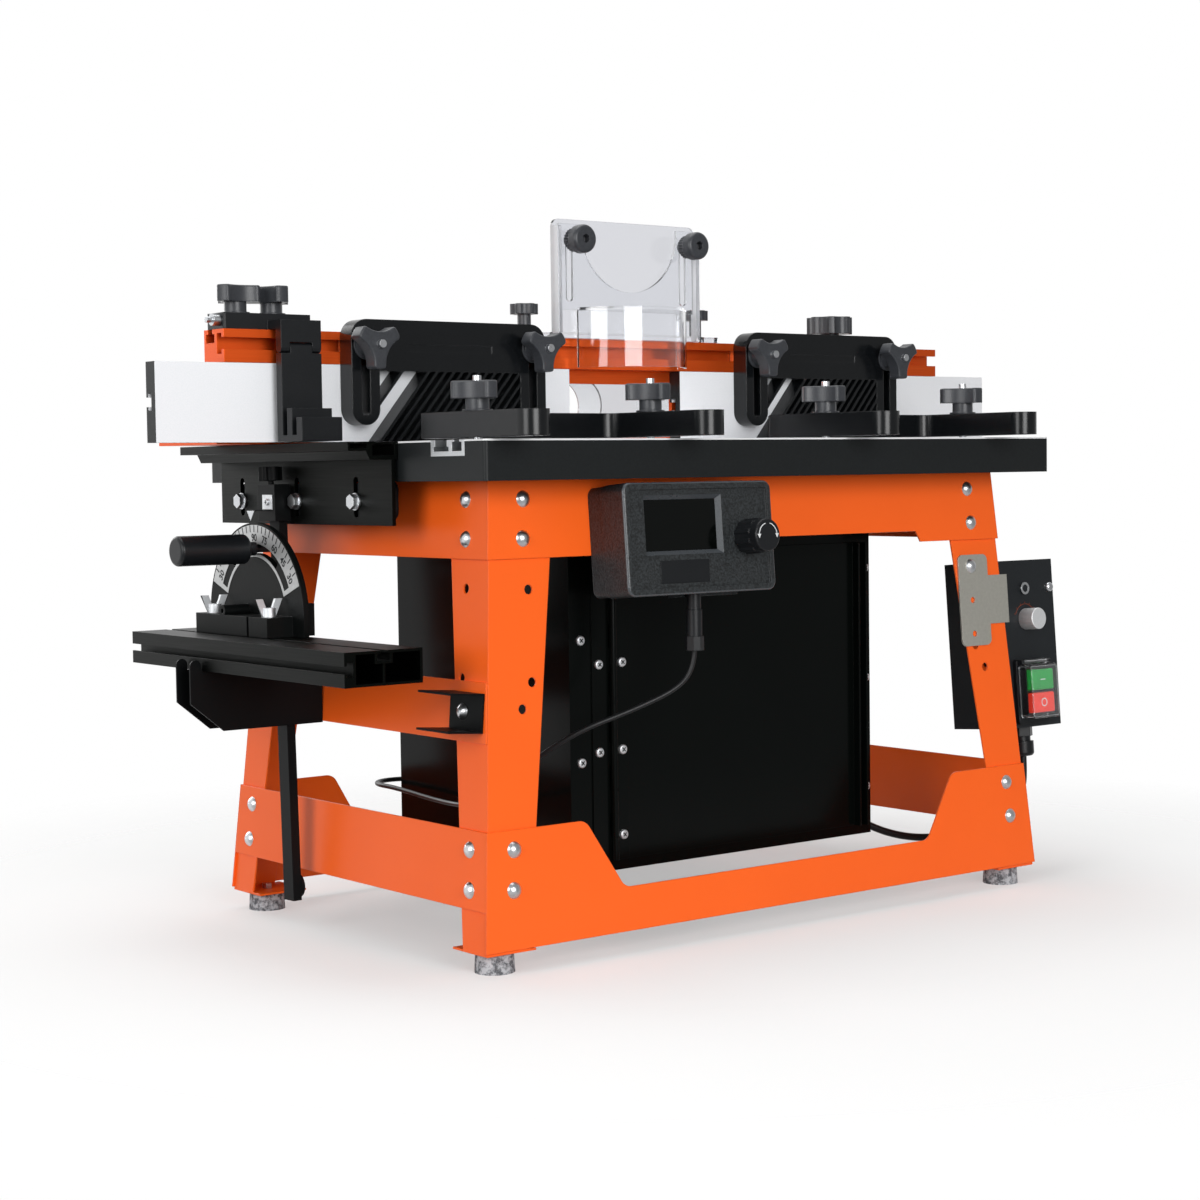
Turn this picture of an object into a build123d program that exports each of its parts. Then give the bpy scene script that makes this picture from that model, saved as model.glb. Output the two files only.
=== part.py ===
from build123d import *
import os
from math import cos, pi, radians, sin, tan

# Benchtop router table. Lengths are in millimetres and angles in degrees. It is drawn from the front left
# corner of the table's top face, with x to the right, y to the back and z up, so depths below the table are
# negative. At the end it is moved so that its origin is on the bench, under the middle of its outer box.

# Fits
slide_gap = 0.3
seat_gap = 0.1
shaft_gap = 0.05
bolt_room = 0.4

# How far a cut runs past the face that it opens, and a joined piece into its neighbour
past = 1

# Table top
table_length = 760
table_depth = 510
table_thickness = 38
table_height = 496.6
table_corner = 4
mid_x = table_length / 2
mid_y = table_depth / 2

# Double track let into the table: a T-slot in front of a mitre slot
track_front = 32
track_width = 55
track_depth = 15
tee_setback = 12.5
tee_mouth = 8.6
tee_width = 15.6
tee_lip = 2
tee_floor = 10.4
mitre_setback = 38.2
mitre_mouth = 19.2
mitre_width = 25
mitre_lip = 6.3
mitre_floor = 10.5

# Insert ring round the cutter
cutter_y = 255
ring_radius = 49
ring_bore = 27
ring_thickness = 6
table_hole = 44

# Splayed sheet frame
splay = 4.4
sheet = 2
frame_side = 38.5
frame_front = 50.4
frame_flange = 22
top_rail_low = 111.5
top_rail_waist = 100
top_tab = 116.5
top_notch = 6.4
lower_rail_high = 362.5
lower_rail_waist = 431
lower_rail_low = 473.5
lower_end = 115
lower_slope = 43
lower_round = 14
side_rail_low = 436
storage_high = 225
storage_low = 281.6
leg_front_top = 78
leg_front_low = 51
leg_side_top = 66.5
leg_side_low = 41.5
leg_drop = 3
foot_plate = 56
punch_radius = 4.6
front_punches = ((48.5, 140.6), (53, 227.5), (42, 252))
side_punches = ((38, 139), (44.6, 223))

# Rubber feet and frame bolts
foot_radius = 19.25
foot_height = 20
foot_in_x = 29.4
foot_in_y = 28.5
foot_taper = 1
bolt_radius = 3
dome_radius = 8
dome_height = 4.5
nut_radius = 5.8
nut_height = 5
bolt_tail = 2
front_bolts = ((40.6, 55.7), (40.6, 92.8), (31.3, 380.9), (31.3, 418.3))
side_bolts = ((36.1, 55.7), (36.1, 92.8), (28.4, 380.9), (28.4, 418.3))

# Black side rail on the left, with its own T-slot and mitre channel
rail_reach = 56
rail_front = 142
rail_back = table_depth - 38
rail_thin = 8.5
rail_thick = 17
rail_step = 32
rail_tee_middle = 44.5
rail_tee_mouth = 9
rail_tee_width = 18.9
rail_tee_lip = 2
rail_tee_floor = 6.5
rail_mitre_middle = 16.8
rail_mitre_lip = 3
rail_mitre_floor = 13
rail_mitre_width = 24.4
rail_flange_face = 8
rail_flange = 4
rail_flange_low = 80
rail_slot_high = 33
rail_slot_low = 72.5
rail_slot_width = 9
rail_slot_places = (205.7, 317, table_depth - 82.6)
rail_bolt_depth = 57
rail_bolt_radius = 4
rail_washer = 8.5
rail_washer_thick = 2
rail_hex = 7.4
rail_hex_height = 5.5
spacer_radius = 8
spacer_over = 3

# Storage bracket and clip for the mitre gauge
bracket_middle = 337
bracket_gap = 26
bracket_out = 130
bracket_high = 222
bracket_low = 283
bracket_hook = 11
bracket_hook_width = 12
bracket_cut_high = 254
bracket_cut_in = 36
clip_front = 39
clip_back = 92
clip_high = 235
clip_low = 272
clip_depth = 39
clip_bolt_y = 71

# Mitre gauge, stored upright: fence, head, bar and handle
gauge_fence_out = 117
gauge_fence_in = 33
gauge_fence_front = 57
gauge_fence_back = 470
gauge_fence_high = 189.6
gauge_wall = 2.6
gauge_slot_mouth = 7
gauge_slot_width = 14
gauge_slot_lip = 2.6
gauge_slot_floor = 9.5
gauge_slot_middle = 75
head_pivot_y = 340
head_pivot_z = 172
head_radius = 94
pivot_radius = 5
head_out = 45
head_in = 20
head_plate = 6
head_rear_height = 32
base_out = 74
base_length = 144
base_height = 19.7
base_split = 4
arc_slot_radius = 68
arc_slot_width = 9
arc_slot_reach = 58
boss_y = 357
boss_z = 166
boss_radius = 6
boss_bore = 2.5
boss_deep = 12
bar_width = 19
bar_thick = 9.5
bar_lean = 2
bar_top = 40
bar_low = 463
pointer_block_width = 34
pointer_block_low = 77
pointer_block_thick = 18
pointer_screw = 3
star_out = 22
star_radius = 12
star_flute = 2.4
star_flutes = 6
star_high = 22
star_low = 36
disc_radius = 12
disc_thick = 3
disc_up = 14
handle_radius = 15
handle_out = 134
handle_neck = 7
handle_neck_length = 10
handle_stud = 4
wing_spread = 110
wing_radius = 7
wing_height = 9
wing_span = 15
wing_thick = 3
wing_out = 62

# Tee-shaped steel bracket on the right front leg
tee_plate_left = table_length - 99
tee_plate_right = table_length - 53
tee_plate_high = 128
tee_plate_low = 228
tee_arm_right = table_length - 22.5
tee_arm_high = 151.5
tee_arm_low = 205
tee_round = 7
tee_hole_drops = (0, 37.4, 74.4)

# Enclosure under the table and its door
shell_left = mid_x - 208
shell_right = mid_x + 206
shell_front = 105
shell_back = 412
shell_low = 432
shell_wall = 1.5
door_left = mid_x - 156
door_right = mid_x + 192
door_high = 112
door_low = 421
door_sheet = 2
door_lip = 11
door_lip_width = 13
door_lap = 10
hinge_radius = 4
hinge_pin = 2
hinge_leaf = 25
hinge_knuckles = 13
collar_radius = 50
collar_wall = 2
collar_length = 40
collar_z = 330
screw_radius = 5
screw_height = 2.8
screw_shank = 1.8
screw_depth = 5
strip_depths = (198, 320)
leaf_depths = (223, 311)
leaf_screw_in = 17
door_leaf = 19
door_leaf_thick = 1
door_screw_in = 11
door_screw_depths = (222, 310, 396)
right_depths = (140, 260, 380)

# Control unit on the front rail
unit_left = mid_x - 226.5
unit_right = mid_x - 39
unit_high = table_thickness + 8
unit_low = unit_high + 108
unit_depth = 56
unit_seam = 20
unit_round = 9
unit_wall = 3
unit_step = 1
unit_rim = 7
unit_recess = 2
screen_left = mid_x - 197
screen_right = mid_x - 108
screen_high = unit_high + 16.5
screen_low = unit_high + 65.5
screen_recess = 5
screen_bevel = 4
glass_thick = 2
encoder_x = mid_x - 73
encoder_z = unit_high + 55
encoder_radius = 17.3
encoder_length = 31
encoder_cap = 16
encoder_flutes = 10
encoder_flute = 1.8
encoder_shaft = 3
plug_x = mid_x - 122.5
plug_out = 27
plug_radius = 8
plug_collar = 7
plug_collar_length = 15
plug_length = 26
plug_nut_radius = 9.5
plug_nut_sides = 8
plug_nut_length = 14
tab_left = mid_x - 133
tab_right = mid_x - 60
tab_thick = 2.5

# Switch box on the right front leg
box_front = 61
box_deep = 81.5
box_wide = 89.5
box_high = 138
box_low = 326.5
box_wedge = 20
wedge_front = 64
wedge_back = 78
wedge_high = 160
wedge_low = 300
box_wall = 1.5
panel_thick = 2
lamp_z = 170
lamp_radius = 7
panel_middle = 40.5
panel_dome_radius = 5.5
panel_dome_height = 4.5
panel_dome_side = 41.5
speed_z = 204.5
speed_radius = 12
speed_length = 20
speed_shaft = 3
speed_round = 1
switch_high = 249.5
switch_low = 322.5
switch_wide = 52
switch_deep = 5
switch_round = 4
plinth_high = 13.5
plinth_rim = 1.5
cover_wide = 45
cover_tall = 60
cover_deep = 18.5
cover_wall = 1.6
cover_pin = 1.5
button_wide = 35.5
start_tall = 23
stop_tall = 22.5
button_out = 19.5
button_travel = 3.5
button_room = 0.4
button_split = 3
gland_radius = 13
gland_length = 34
gland_nut = 5
gland_in = 25
gland_out = 50

# Cables
display_cable_radius = 2.6
motor_lead_radius = 4.2
socket_length = 8

# Fence extrusion with its two faces
fence_y = 270
face_thick = 18
face_low = 1.7
face_high = 78.5
face_left_end = mid_x - 567.5
face_right_end = mid_x + 567.5
gap_left = mid_x - 77
gap_right = mid_x + 77.5
face_groove = 10
face_groove_lip = 4
face_groove_mouth = 9
face_groove_tall = 16
face_bolt_in = 55
face_bolt_out = 310
fence_left = mid_x - 493.3
fence_right = mid_x + 484.7
fence_lip = 0.3
fence_top = 111
fence_deep = 39
fence_tee_z = 97
fence_tee_mouth = 11.6
fence_tee_width = 20
fence_tee_lip = 4.5
fence_tee_floor = 14
fence_top_tee_y = 27
fence_top_tee_mouth = 9
fence_top_tee_width = 17
fence_top_tee_lip = 4.5
fence_top_tee_floor = 13
fence_wall = 5
base_back = 408
base_thick = 6
cutter_window_high = 64
cutter_window_room = 3
lock_y = 365
lock_inset = 150
lock_stud = 4
lock_slot_front = 36
lock_slot_back = 54
hold_in = 62

# Dust hood behind the cutter gap
hood_deep = 60
hood_wall = 2.5
port_radius = 31.5
port_length = 40
port_z = 43

# Clear guard on the fence and its sliding shield
guard_left = mid_x - 102
guard_right = mid_x + 94
guard_high = 237
guard_thick = 4
guard_face = 263
guard_foot = 6
guard_foot_over = 40
guard_rib = 5
guard_rib_deep = 9
guard_round = 8
shield_radius = 73
shield_middle_y = 279
shield_wall = 3
shield_low = 80
shield_high = 144
shield_ledge = 3
shield_panel = 3.5
shield_panel_high = 232
shield_slot_low = 150
shield_slot_high = 224
shield_slot_width = 8.4
shield_cut = 66
shield_cut_z = 228
guard_knob_in = 19.5
guard_knob_z = 214
guard_knob_radius = 15
guard_knob_waist = 12.5
guard_knob_cap = 12
guard_knob_length = 29
guard_knob_collar = 8
guard_knob_collar_length = 6
guard_knob_socket = 5
guard_knob_edge = 4
guard_knob_socket_deep = 8
guard_knob_flutes = 24
guard_knob_flute = 0.9
guard_knob_stud = 3

# Hand knobs on studs
lobe_radius = 24.5
lobe_bite_centre = 40
lobe_bite = 27.8
lobe_count = 3
lobe_turn = 30
knob_thick = 16
knob_edge = 1.5
lobe_round = 3
knob_hub = 11
knob_hub_height = 10
knob_washer = 14
knob_washer_thick = 1.6
knob_stud = 4
knob_stud_end = 5
tee_nut_length = 20
tee_nut_room = 0.4
clamp_radius = 15
clamp_flute = 2.5
clamp_flutes = 6
clamp_thick = 11
clamp_hub_height = 20
clamp_out_left = 14
clamp_out_right = 29
lock_knob_thick = 20
lock_knob_radius = 27
lock_knob_flutes = 7
lock_knob_flute = 5

# Flip stop at the left end of the fence
stop_left = mid_x - 490
stop_right = mid_x - 393
stop_deep = 34
stop_high = 127
stop_round = 2
stop_screw_y = 285
stop_screw_z = 120
stop_screw_radius = 3
stop_screw_grip = 12
stop_nut_radius = 5.8
stop_nut_length = 8
stop_screw_out = 14
stop_knobs_x = (mid_x - 465, mid_x - 425)
stop_knob_size = 1
stop_arm_left = mid_x - 442
stop_arm_right = mid_x - 397
stop_arm_front = 250
stop_arm_thick = 10
stop_arm_low = 2
stop_hinge_z = 93
stop_pin = 2.5
stop_bracket_high = 120
stop_ear = 10
stop_foot_deep = 46
stop_foot_web = 6
stop_fin_high = 34
stop_fin = 9
stop_groove = 8.5
stop_block_high = 25

# Featherboards that stand on the fence
board_width = 238.5
board_left = mid_x - 363.5
board_right = mid_x + 157
board_thick = 21.5
board_high = 123
board_bar_low = 72
board_round = 18
ear_width = 32.5
ear_low = 18
ear_slot_low = 27
ear_slot_high = 105
ear_slot_width = 10
fin_tip = 2
fin_angle = 50
fin_thick = 3.6
fin_pitch = 10.3
fin_first = 58
fin_second = 90
fin_root = 2
label_left = 66
label_right = 170
label_low = 92
label_high = 99
label_deep = 0.6

# Featherboards that lie on the table
flat_left = mid_x - 356
flat_right = mid_x + 85
arm_spread = 206
arm_width = 32
arm_tip = -40
flat_body_front = 84
flat_body_back = 114
flat_under = 2
flat_thick = 24
flat_fin_back = 148
flat_slot_front = -26
flat_slot_back = 70
flat_slot_width = 10
flat_round = 12

# Router motor, spindle and lift inside the enclosure
motor_radius = 52
motor_high = 130
motor_low = 320
motor_round = 6
spindle_radius = 12
spindle_seat = 30
collet_radius = 17
collet_high = 35
collet_low = 72
collet_bore = 6.35
collet_bore_depth = 30
carriage_high = 170
carriage_low = 205
carriage_half = 110
carriage_front = 200
carriage_back = 352
column_radius = 10
column_spread = 180
lift_plate_high = 400
lift_plate_thick = 8
screw_rod = 8
screw_back = 75
lift_screw_high = 46
gearbox_half = 32
gearbox_half_deep = 24

# Cable routes: the points between the control unit's plug and the enclosure's back, and between the switch
# box's gland and the enclosure's right wall
display_points = (
    (mid_x - 136, 21, -243), (mid_x - 179, 40, -263), (mid_x - 232, 66, -283), (mid_x - 269, 106, -320),
    (mid_x - 267, 162, -353), (mid_x - 246, 226, -371), (mid_x - 230, 300, -376), (mid_x - 225, 394, -371),
)
lead_points = (
    (table_length + 35, 73, -406), (table_length + 23, 107, -442), (table_length - 20, 154, -463),
    (shell_right + 104, 188, -455), (shell_right + 58, 215, -424),
)
lead_end = (224, -410)
lead_run = 30
loop_step = 26
loop_z = -371
bend_share = 0.45

under = -(table_thickness + seat_gap)
tilt = radians(splay)
across = Plane((mid_x, 0, 0), z_dir=(1, 0, 0))
lengthwise = Plane((0, mid_y, 0), z_dir=(0, 1, 0))
front_face = Plane((mid_x, frame_front, under), x_dir=(1, 0, 0), z_dir=(0, -cos(tilt), sin(tilt)))
left_face = Plane((frame_side, mid_y, under), x_dir=(0, -1, 0), z_dir=(-cos(tilt), 0, sin(tilt)))
right_face = Plane((table_length - frame_side, mid_y, under), x_dir=(0, 1, 0),
                   z_dir=(cos(tilt), 0, sin(tilt)))


def block(x0, x1, y0, y1, z0, z1):
    """A box between two opposite corners."""
    return Pos((x0 + x1) / 2, (y0 + y1) / 2, (z0 + z1) / 2) * Box(x1 - x0, y1 - y0, z1 - z0)


def post(radius, height):
    """A round post that stands on z = 0."""
    return Cylinder(radius, height, align=(Align.CENTER, Align.CENTER, Align.MIN))


def rod(start, end, radius):
    """A round rod from one point to another."""
    run = Vector(*end) - Vector(*start)
    return Plane(start, z_dir=run) * post(radius, run.length)


def rod_x(x0, x1, y, z, radius):
    """A round rod along x."""
    return rod((x0, y, z), (x1, y, z), radius)


def rod_y(x, y0, y1, z, radius):
    """A round rod along y."""
    return rod((x, y0, z), (x, y1, z), radius)


def rod_z(x, y, z0, z1, radius):
    """A round rod along z."""
    return rod((x, y, z0), (x, y, z1), radius)


def prism(plane, outline, depth):
    """An outline on a plane, thickened along its normal, or against it where the depth is negative."""
    return extrude(plane * outline, amount=depth, dir=plane.z_dir)


def along_x(outline, x0, x1):
    """An outline in y and z, drawn out from x0 to x1."""
    return prism(Plane((x0, 0, 0), x_dir=(0, 1, 0), z_dir=(1, 0, 0)), outline, x1 - x0)


def along_y(outline, y0, y1):
    """An outline in x and z, drawn out from y0 to y1."""
    return prism(Plane((0, y0, 0), x_dir=(1, 0, 0), z_dir=(0, -1, 0)), outline, y0 - y1)


def along_z(outline, z0, z1):
    """An outline in x and y, drawn out from z0 to z1."""
    return prism(Plane((0, 0, z0)), outline, z1 - z0)


def rectangle(x0, x1, y0, y1):
    """A flat rectangle between two opposite corners."""
    return Pos((x0 + x1) / 2, (y0 + y1) / 2) * Rectangle(x1 - x0, y1 - y0)


def slot(x0, x1, y, width):
    """A flat round-ended slot along x, from end to end."""
    return Pos((x0 + x1) / 2, y) * SlotOverall(x1 - x0, width)


def upright_slot(x, y0, y1, width):
    """A flat round-ended slot along y, from end to end."""
    return Pos(x, (y0 + y1) / 2) * SlotOverall(y1 - y0, width, rotation=90)


def tee_groove(middle, top, mouth, width, lip, floor):
    """The section of a T-slot that opens upwards."""
    neck = rectangle(middle - mouth / 2, middle + mouth / 2, top - lip, top + lip)
    return neck + rectangle(middle - width / 2, middle + width / 2, top - floor, top - lip)


def group(*pieces):
    """Several separate solids as one node."""
    return Compound(children=list(pieces))


def both_sides(piece):
    """A piece and its mirror image across the table's middle."""
    return [piece, mirror(piece, about=across)]


def four_corners(piece):
    """A piece at the front left corner, and its three mirror images."""
    front = both_sides(piece)
    return front + [mirror(one, about=lengthwise) for one in front]


def down_slope(z):
    """The distance along a splayed face, from the table's underside to a depth."""
    return (z - under) / cos(tilt)


def half_front(v):
    """Half the width of the frame's front face at a distance along its slope."""
    return mid_x - frame_side - sin(tilt) * v


def half_side(v):
    """Half the width of the frame's side face at a distance along its slope."""
    return mid_y - frame_front - sin(tilt) * v


def corner_x(z):
    """Where the frame's left face is at a depth."""
    return frame_side + tan(tilt) * (z - under)


def corner_y(z):
    """Where the frame's front face is at a depth."""
    return frame_front + tan(tilt) * (z - under)


def front_place(x_in, depth):
    """A place on the front face, given its distance from the left corner and its depth."""
    v = down_slope(-depth)
    return front_face * Pos(x_in - half_front(v), v, 0)


def side_place(y_in, depth):
    """A place on the left face, given its distance from the front corner and its depth."""
    v = down_slope(-depth)
    return left_face * Pos(half_side(v) - y_in, v, 0)


# Frame

leg_inset = (sheet + seat_gap) / cos(tilt)
bolt_places = [front_place(*place) for place in front_bolts]
bolt_places += [side_place(*place) for place in side_bolts]
bolt_hole = Cylinder(bolt_radius + bolt_room, 10 * sheet)
punch = Cylinder(punch_radius, 8 * sheet)
clip_place = side_place(clip_bolt_y - corner_y(-(clip_high + clip_low) / 2), (clip_high + clip_low) / 2)


def bolted(piece):
    """A rail or leg with the holes for the bolts of all four corners."""
    holes = [corner for place in bolt_places for corner in four_corners(place * bolt_hole)]
    return piece - holes


def top_front_rail():
    low = down_slope(-top_rail_low)
    waist = down_slope(-top_rail_waist)
    inner = half_front(0) - top_tab
    right = [(inner - top_notch, waist), (inner, low), (half_front(low), low), (half_front(0), 0)]
    left = [(-x, v) for x, v in reversed(right)]
    web = prism(front_face, Polygon(*left, *right), -sheet)
    flange = block(frame_side + sheet, table_length - frame_side - sheet,
                   frame_front, frame_front + frame_flange, under - sheet, under)
    return bolted(web + flange)


def side_web(high, low):
    """A strip of sheet on the left face, between the front and the rear rail."""
    v0 = down_slope(-high)
    v1 = down_slope(-low)
    top = half_side(v0) - leg_inset
    bottom = half_side(v1) - leg_inset
    return prism(left_face, Polygon((-bottom, v1), (bottom, v1), (top, v0), (-top, v0)), -sheet)


def top_side_rail():
    flange = block(frame_side, frame_side + frame_flange, frame_front + frame_flange + sheet,
                   table_depth - frame_front - frame_flange - sheet, under - sheet, under)
    return bolted(side_web(-under, top_rail_low) + flange)


def rail_bolt_holes():
    """Holes in the left top rail for the bolts of the side rail."""
    hole = Cylinder(rail_bolt_radius + bolt_room, 4 * frame_side, rotation=(0, 90, 0))
    return [Pos(0, y, -rail_bolt_depth) * hole for y in rail_slot_places]


def lower_front_rail():
    high = down_slope(-lower_rail_high)
    waist = down_slope(-lower_rail_waist)
    low = down_slope(-lower_rail_low)
    inner = half_front(high) - lower_end
    right = [(half_front(low), low), (half_front(high), high), (inner, high),
             (inner - lower_slope, waist)]
    left = [(-x, v) for x, v in reversed(right)]
    outline = Polygon(*right, *left)
    bends = [corner for corner in outline.vertices() if abs(corner.X) < inner + lower_round]
    return bolted(prism(front_face, fillet(bends, lower_round), -sheet))


def leg():
    high = down_slope(under - leg_drop)
    foot = -table_height + foot_height
    low = down_slope(foot + sheet / 2)
    front = Polygon((leg_inset - half_front(high), high), (leg_inset - half_front(low), low),
                    (leg_front_low - half_front(low), low), (leg_front_top - half_front(high), high))
    side = Polygon((half_side(high) - leg_side_top, high), (half_side(low) - leg_side_low, low),
                   (half_side(low) - leg_inset, low), (half_side(high) - leg_inset, high))
    front_plate = prism(front_face.offset(-sheet - seat_gap), front, -sheet)
    side_plate = prism(left_face.offset(-sheet - seat_gap), side, -sheet)
    x0 = corner_x(foot) + leg_inset
    y0 = corner_y(foot) + leg_inset
    plate = block(x0, x0 + foot_plate, y0, y0 + foot_plate, foot, foot + sheet)
    punches = [front_place(*place) * punch for place in front_punches]
    punches += [side_place(*place) * punch for place in side_punches]
    foot_hole = Pos(*foot_centre(), foot) * bolt_hole
    clip_hole = clip_place * bolt_hole
    return bolted(front_plate + side_plate + plate) - punches - foot_hole - clip_hole


def foot_centre():
    """Where the front left foot stands."""
    return corner_x(-table_height) + foot_in_x, corner_y(-table_height) + foot_in_y


def rubber_foot():
    height = foot_height - seat_gap
    body = Pos(*foot_centre(), -table_height) * Cone(
        foot_radius, foot_radius - foot_taper, height, align=(Align.CENTER, Align.CENTER, Align.MIN))
    bore = post(bolt_radius + bolt_room, foot_height)
    well = Pos(*foot_centre(), -table_height + foot_height / 2) * bore
    return body - well


def hex_nut(radius, height):
    """A hexagon prism standing on z = 0."""
    return extrude(RegularPolygon(radius, 6), height)


def carriage_bolt(grip):
    """A domed bolt that stands on z = 0, with its nut below the sheets that it grips."""
    ball = (dome_radius ** 2 + dome_height ** 2) / (2 * dome_height)
    cap = Pos(0, 0, dome_height - ball) * Sphere(ball)
    dome = cap & Pos(0, 0, dome_height / 2) * Box(2 * ball, 2 * ball, dome_height)
    tail = grip + nut_height + bolt_tail
    shank = Pos(0, 0, -tail) * post(bolt_radius, tail)
    return dome + shank + Pos(0, 0, -grip - nut_height) * hex_nut(nut_radius, nut_height)


def foot_bolt():
    """The bolt that holds a rubber foot, with its head above the leg's foot plate."""
    top = -table_height + foot_height + sheet
    shank = rod_z(*foot_centre(), top - foot_height / 2, top, bolt_radius)
    return shank + Pos(*foot_centre(), top) * hex_nut(nut_radius, nut_height)


def side_rail_bolt(y):
    """A flanged bolt through the side rail, the left top rail and, at the back, the leg, with its nut."""
    place = Plane((-rail_flange_face, y, -rail_bolt_depth), z_dir=(-1, 0, 0))
    slant = (rail_hex + sheet) * tan(tilt)
    layers = 2 if y > table_depth - frame_front - leg_side_top else 1
    end = rail_flange_face + corner_x(-rail_bolt_depth) + layers * leg_inset + slant
    shank = Pos(0, 0, -end - nut_height) * post(rail_bolt_radius, end + nut_height)
    washer = post(rail_washer, rail_washer_thick)
    nut = Pos(0, 0, -end - nut_height) * hex_nut(rail_hex, nut_height)
    head = hex_nut(rail_hex, rail_washer_thick + rail_hex_height)
    return place * (shank + washer + head + nut)


def side_rail_spacer(y):
    """The oblong pad that holds the side rail's flange off the frame and stands behind its slot."""
    low = -rail_slot_low - spacer_over
    end = corner_x(low) - seat_gap
    start = rail_flange - rail_flange_face + seat_gap
    pad = along_x(upright_slot(y, low, -table_thickness - seat_gap, 2 * spacer_radius), start, end)
    return pad - rod_x(start - past, end + past, y, -rail_bolt_depth, rail_bolt_radius + bolt_room)


def on_side_rail(place):
    """Whether a corner's bolt is where the side rail's own bolt goes through the frame."""
    near = [y for y in rail_slot_places if abs(place.Y - y) < rail_washer]
    return bool(near) and place.X < mid_x and abs(place.Z + rail_bolt_depth) < rail_washer


def frame_bolts():
    grip = 2 * (sheet + seat_gap)
    bolts = [corner for place in bolt_places for corner in four_corners(place * carriage_bolt(grip))]
    bolts = [bolt for bolt in bolts if not on_side_rail(bolt.center())]
    feet = four_corners(foot_bolt())
    rail = [piece(y) for piece in (side_rail_bolt, side_rail_spacer) for y in rail_slot_places]
    clip = clip_place * Pos(0, 0, sheet + 2 * seat_gap) * carriage_bolt(2 * grip)
    return group(*bolts, *feet, *rail, clip)


# Table, track, insert ring and side rail

track_back = track_front + track_width
tee_y = track_front + tee_setback
mitre_y = track_front + mitre_setback


def table_top():
    slab = block(0, table_length, 0, table_depth, -table_thickness, 0)
    slab = fillet(slab.edges().filter_by(Axis.Z), table_corner)
    groove = block(-past, table_length + past, track_front - seat_gap, track_back + seat_gap,
                   -track_depth - seat_gap, past)
    centre = Pos(mid_x, cutter_y, 0)
    hole = centre * Cylinder(table_hole, 3 * table_thickness)
    seat = centre * Cylinder(ring_radius + seat_gap, 2 * (ring_thickness + seat_gap))
    locks = [rod_z(x, lock_y, -table_thickness - past, past, lock_stud + shaft_gap)
             for x in lock_places]
    return slab - groove - hole - seat - locks


def table_track():
    bar = rectangle(track_front, track_back, -track_depth, 0)
    bar -= tee_groove(tee_y, 0, tee_mouth, tee_width, tee_lip, tee_floor)
    bar -= tee_groove(mitre_y, 0, mitre_mouth, mitre_width, mitre_lip, mitre_floor)
    return along_x(bar, 0, table_length)


def insert_ring():
    disc = Cylinder(ring_radius, ring_thickness) - Cylinder(ring_bore, 2 * ring_thickness)
    return Pos(mid_x, cutter_y, -ring_thickness / 2) * disc


def side_rail():
    inner = -slide_gap
    flange = (-rail_flange_face, rail_flange - rail_flange_face)
    bar = Polygon((-rail_reach, 0), (-rail_reach, -rail_thin), (-rail_step - rail_thin / 2, -rail_thin),
                  (-rail_step, -rail_thick), (flange[0], -rail_thick), (flange[0], -rail_flange_low),
                  (flange[1], -rail_flange_low), (flange[1], -rail_thick), (inner, -rail_thick),
                  (inner, 0))
    bar -= tee_groove(-rail_tee_middle, 0, rail_tee_mouth, rail_tee_width, rail_tee_lip, rail_tee_floor)
    bar -= tee_groove(-rail_mitre_middle, 0, mitre_mouth, rail_mitre_width, rail_mitre_lip,
                      rail_mitre_floor)
    slots = Sketch() + [upright_slot(y, -rail_slot_low, -rail_slot_high, rail_slot_width)
                        for y in rail_slot_places]
    return along_y(bar, rail_front, rail_back) - along_x(slots, flange[0] - past, flange[1] + past)


# Storage bracket, clip and mitre gauge

storage_x = corner_x(-storage_low)
bracket_in = storage_x - seat_gap


def hooked_plate(y):
    """One upright side of the storage bracket, with a hook that keeps the gauge on it."""
    out = -bracket_out
    plate = Polygon(
        (bracket_in, -bracket_high), (bracket_in, -bracket_low), (out + bracket_cut_in, -bracket_low),
        (out, -bracket_cut_high), (out, -bracket_high + bracket_hook - bracket_hook_width / 2),
        (out + bracket_hook_width, -bracket_high + bracket_hook - bracket_hook_width / 2),
        (out + bracket_hook_width, -bracket_high))
    tip = Pos(out + bracket_hook_width / 2, -bracket_high + bracket_hook - bracket_hook_width / 2)
    return along_y(plate + tip * Circle(bracket_hook_width / 2), y - sheet / 2, y + sheet / 2)


def storage_bracket():
    half = (bracket_gap + sheet) / 2
    web = block(bracket_in - sheet, bracket_in, bracket_middle - half, bracket_middle + half,
                -bracket_low, -storage_high)
    return hooked_plate(bracket_middle - half) + hooked_plate(bracket_middle + half) + web


def storage_clip():
    """A channel on the storage rail that opens outwards."""
    v0 = down_slope(-clip_high)
    v1 = down_slope(-clip_low)
    middle = (v0 + v1) / 2
    u0 = mid_y - clip_back
    u1 = mid_y - clip_front
    section = Pos((u0 + u1) / 2, middle, clip_depth / 2) * Box(u1 - u0, v0 - v1, clip_depth)
    room = Box(2 * clip_back, v0 - v1 - 2 * sheet, clip_depth)
    inside = Pos((u0 + u1) / 2, middle, sheet + clip_depth / 2) * room
    channel = left_face * Pos(0, 0, seat_gap) * (section - inside)
    return channel - clip_place * bolt_hole


def storage_rail():
    return bolted(side_web(storage_high, storage_low)) - clip_place * bolt_hole


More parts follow.
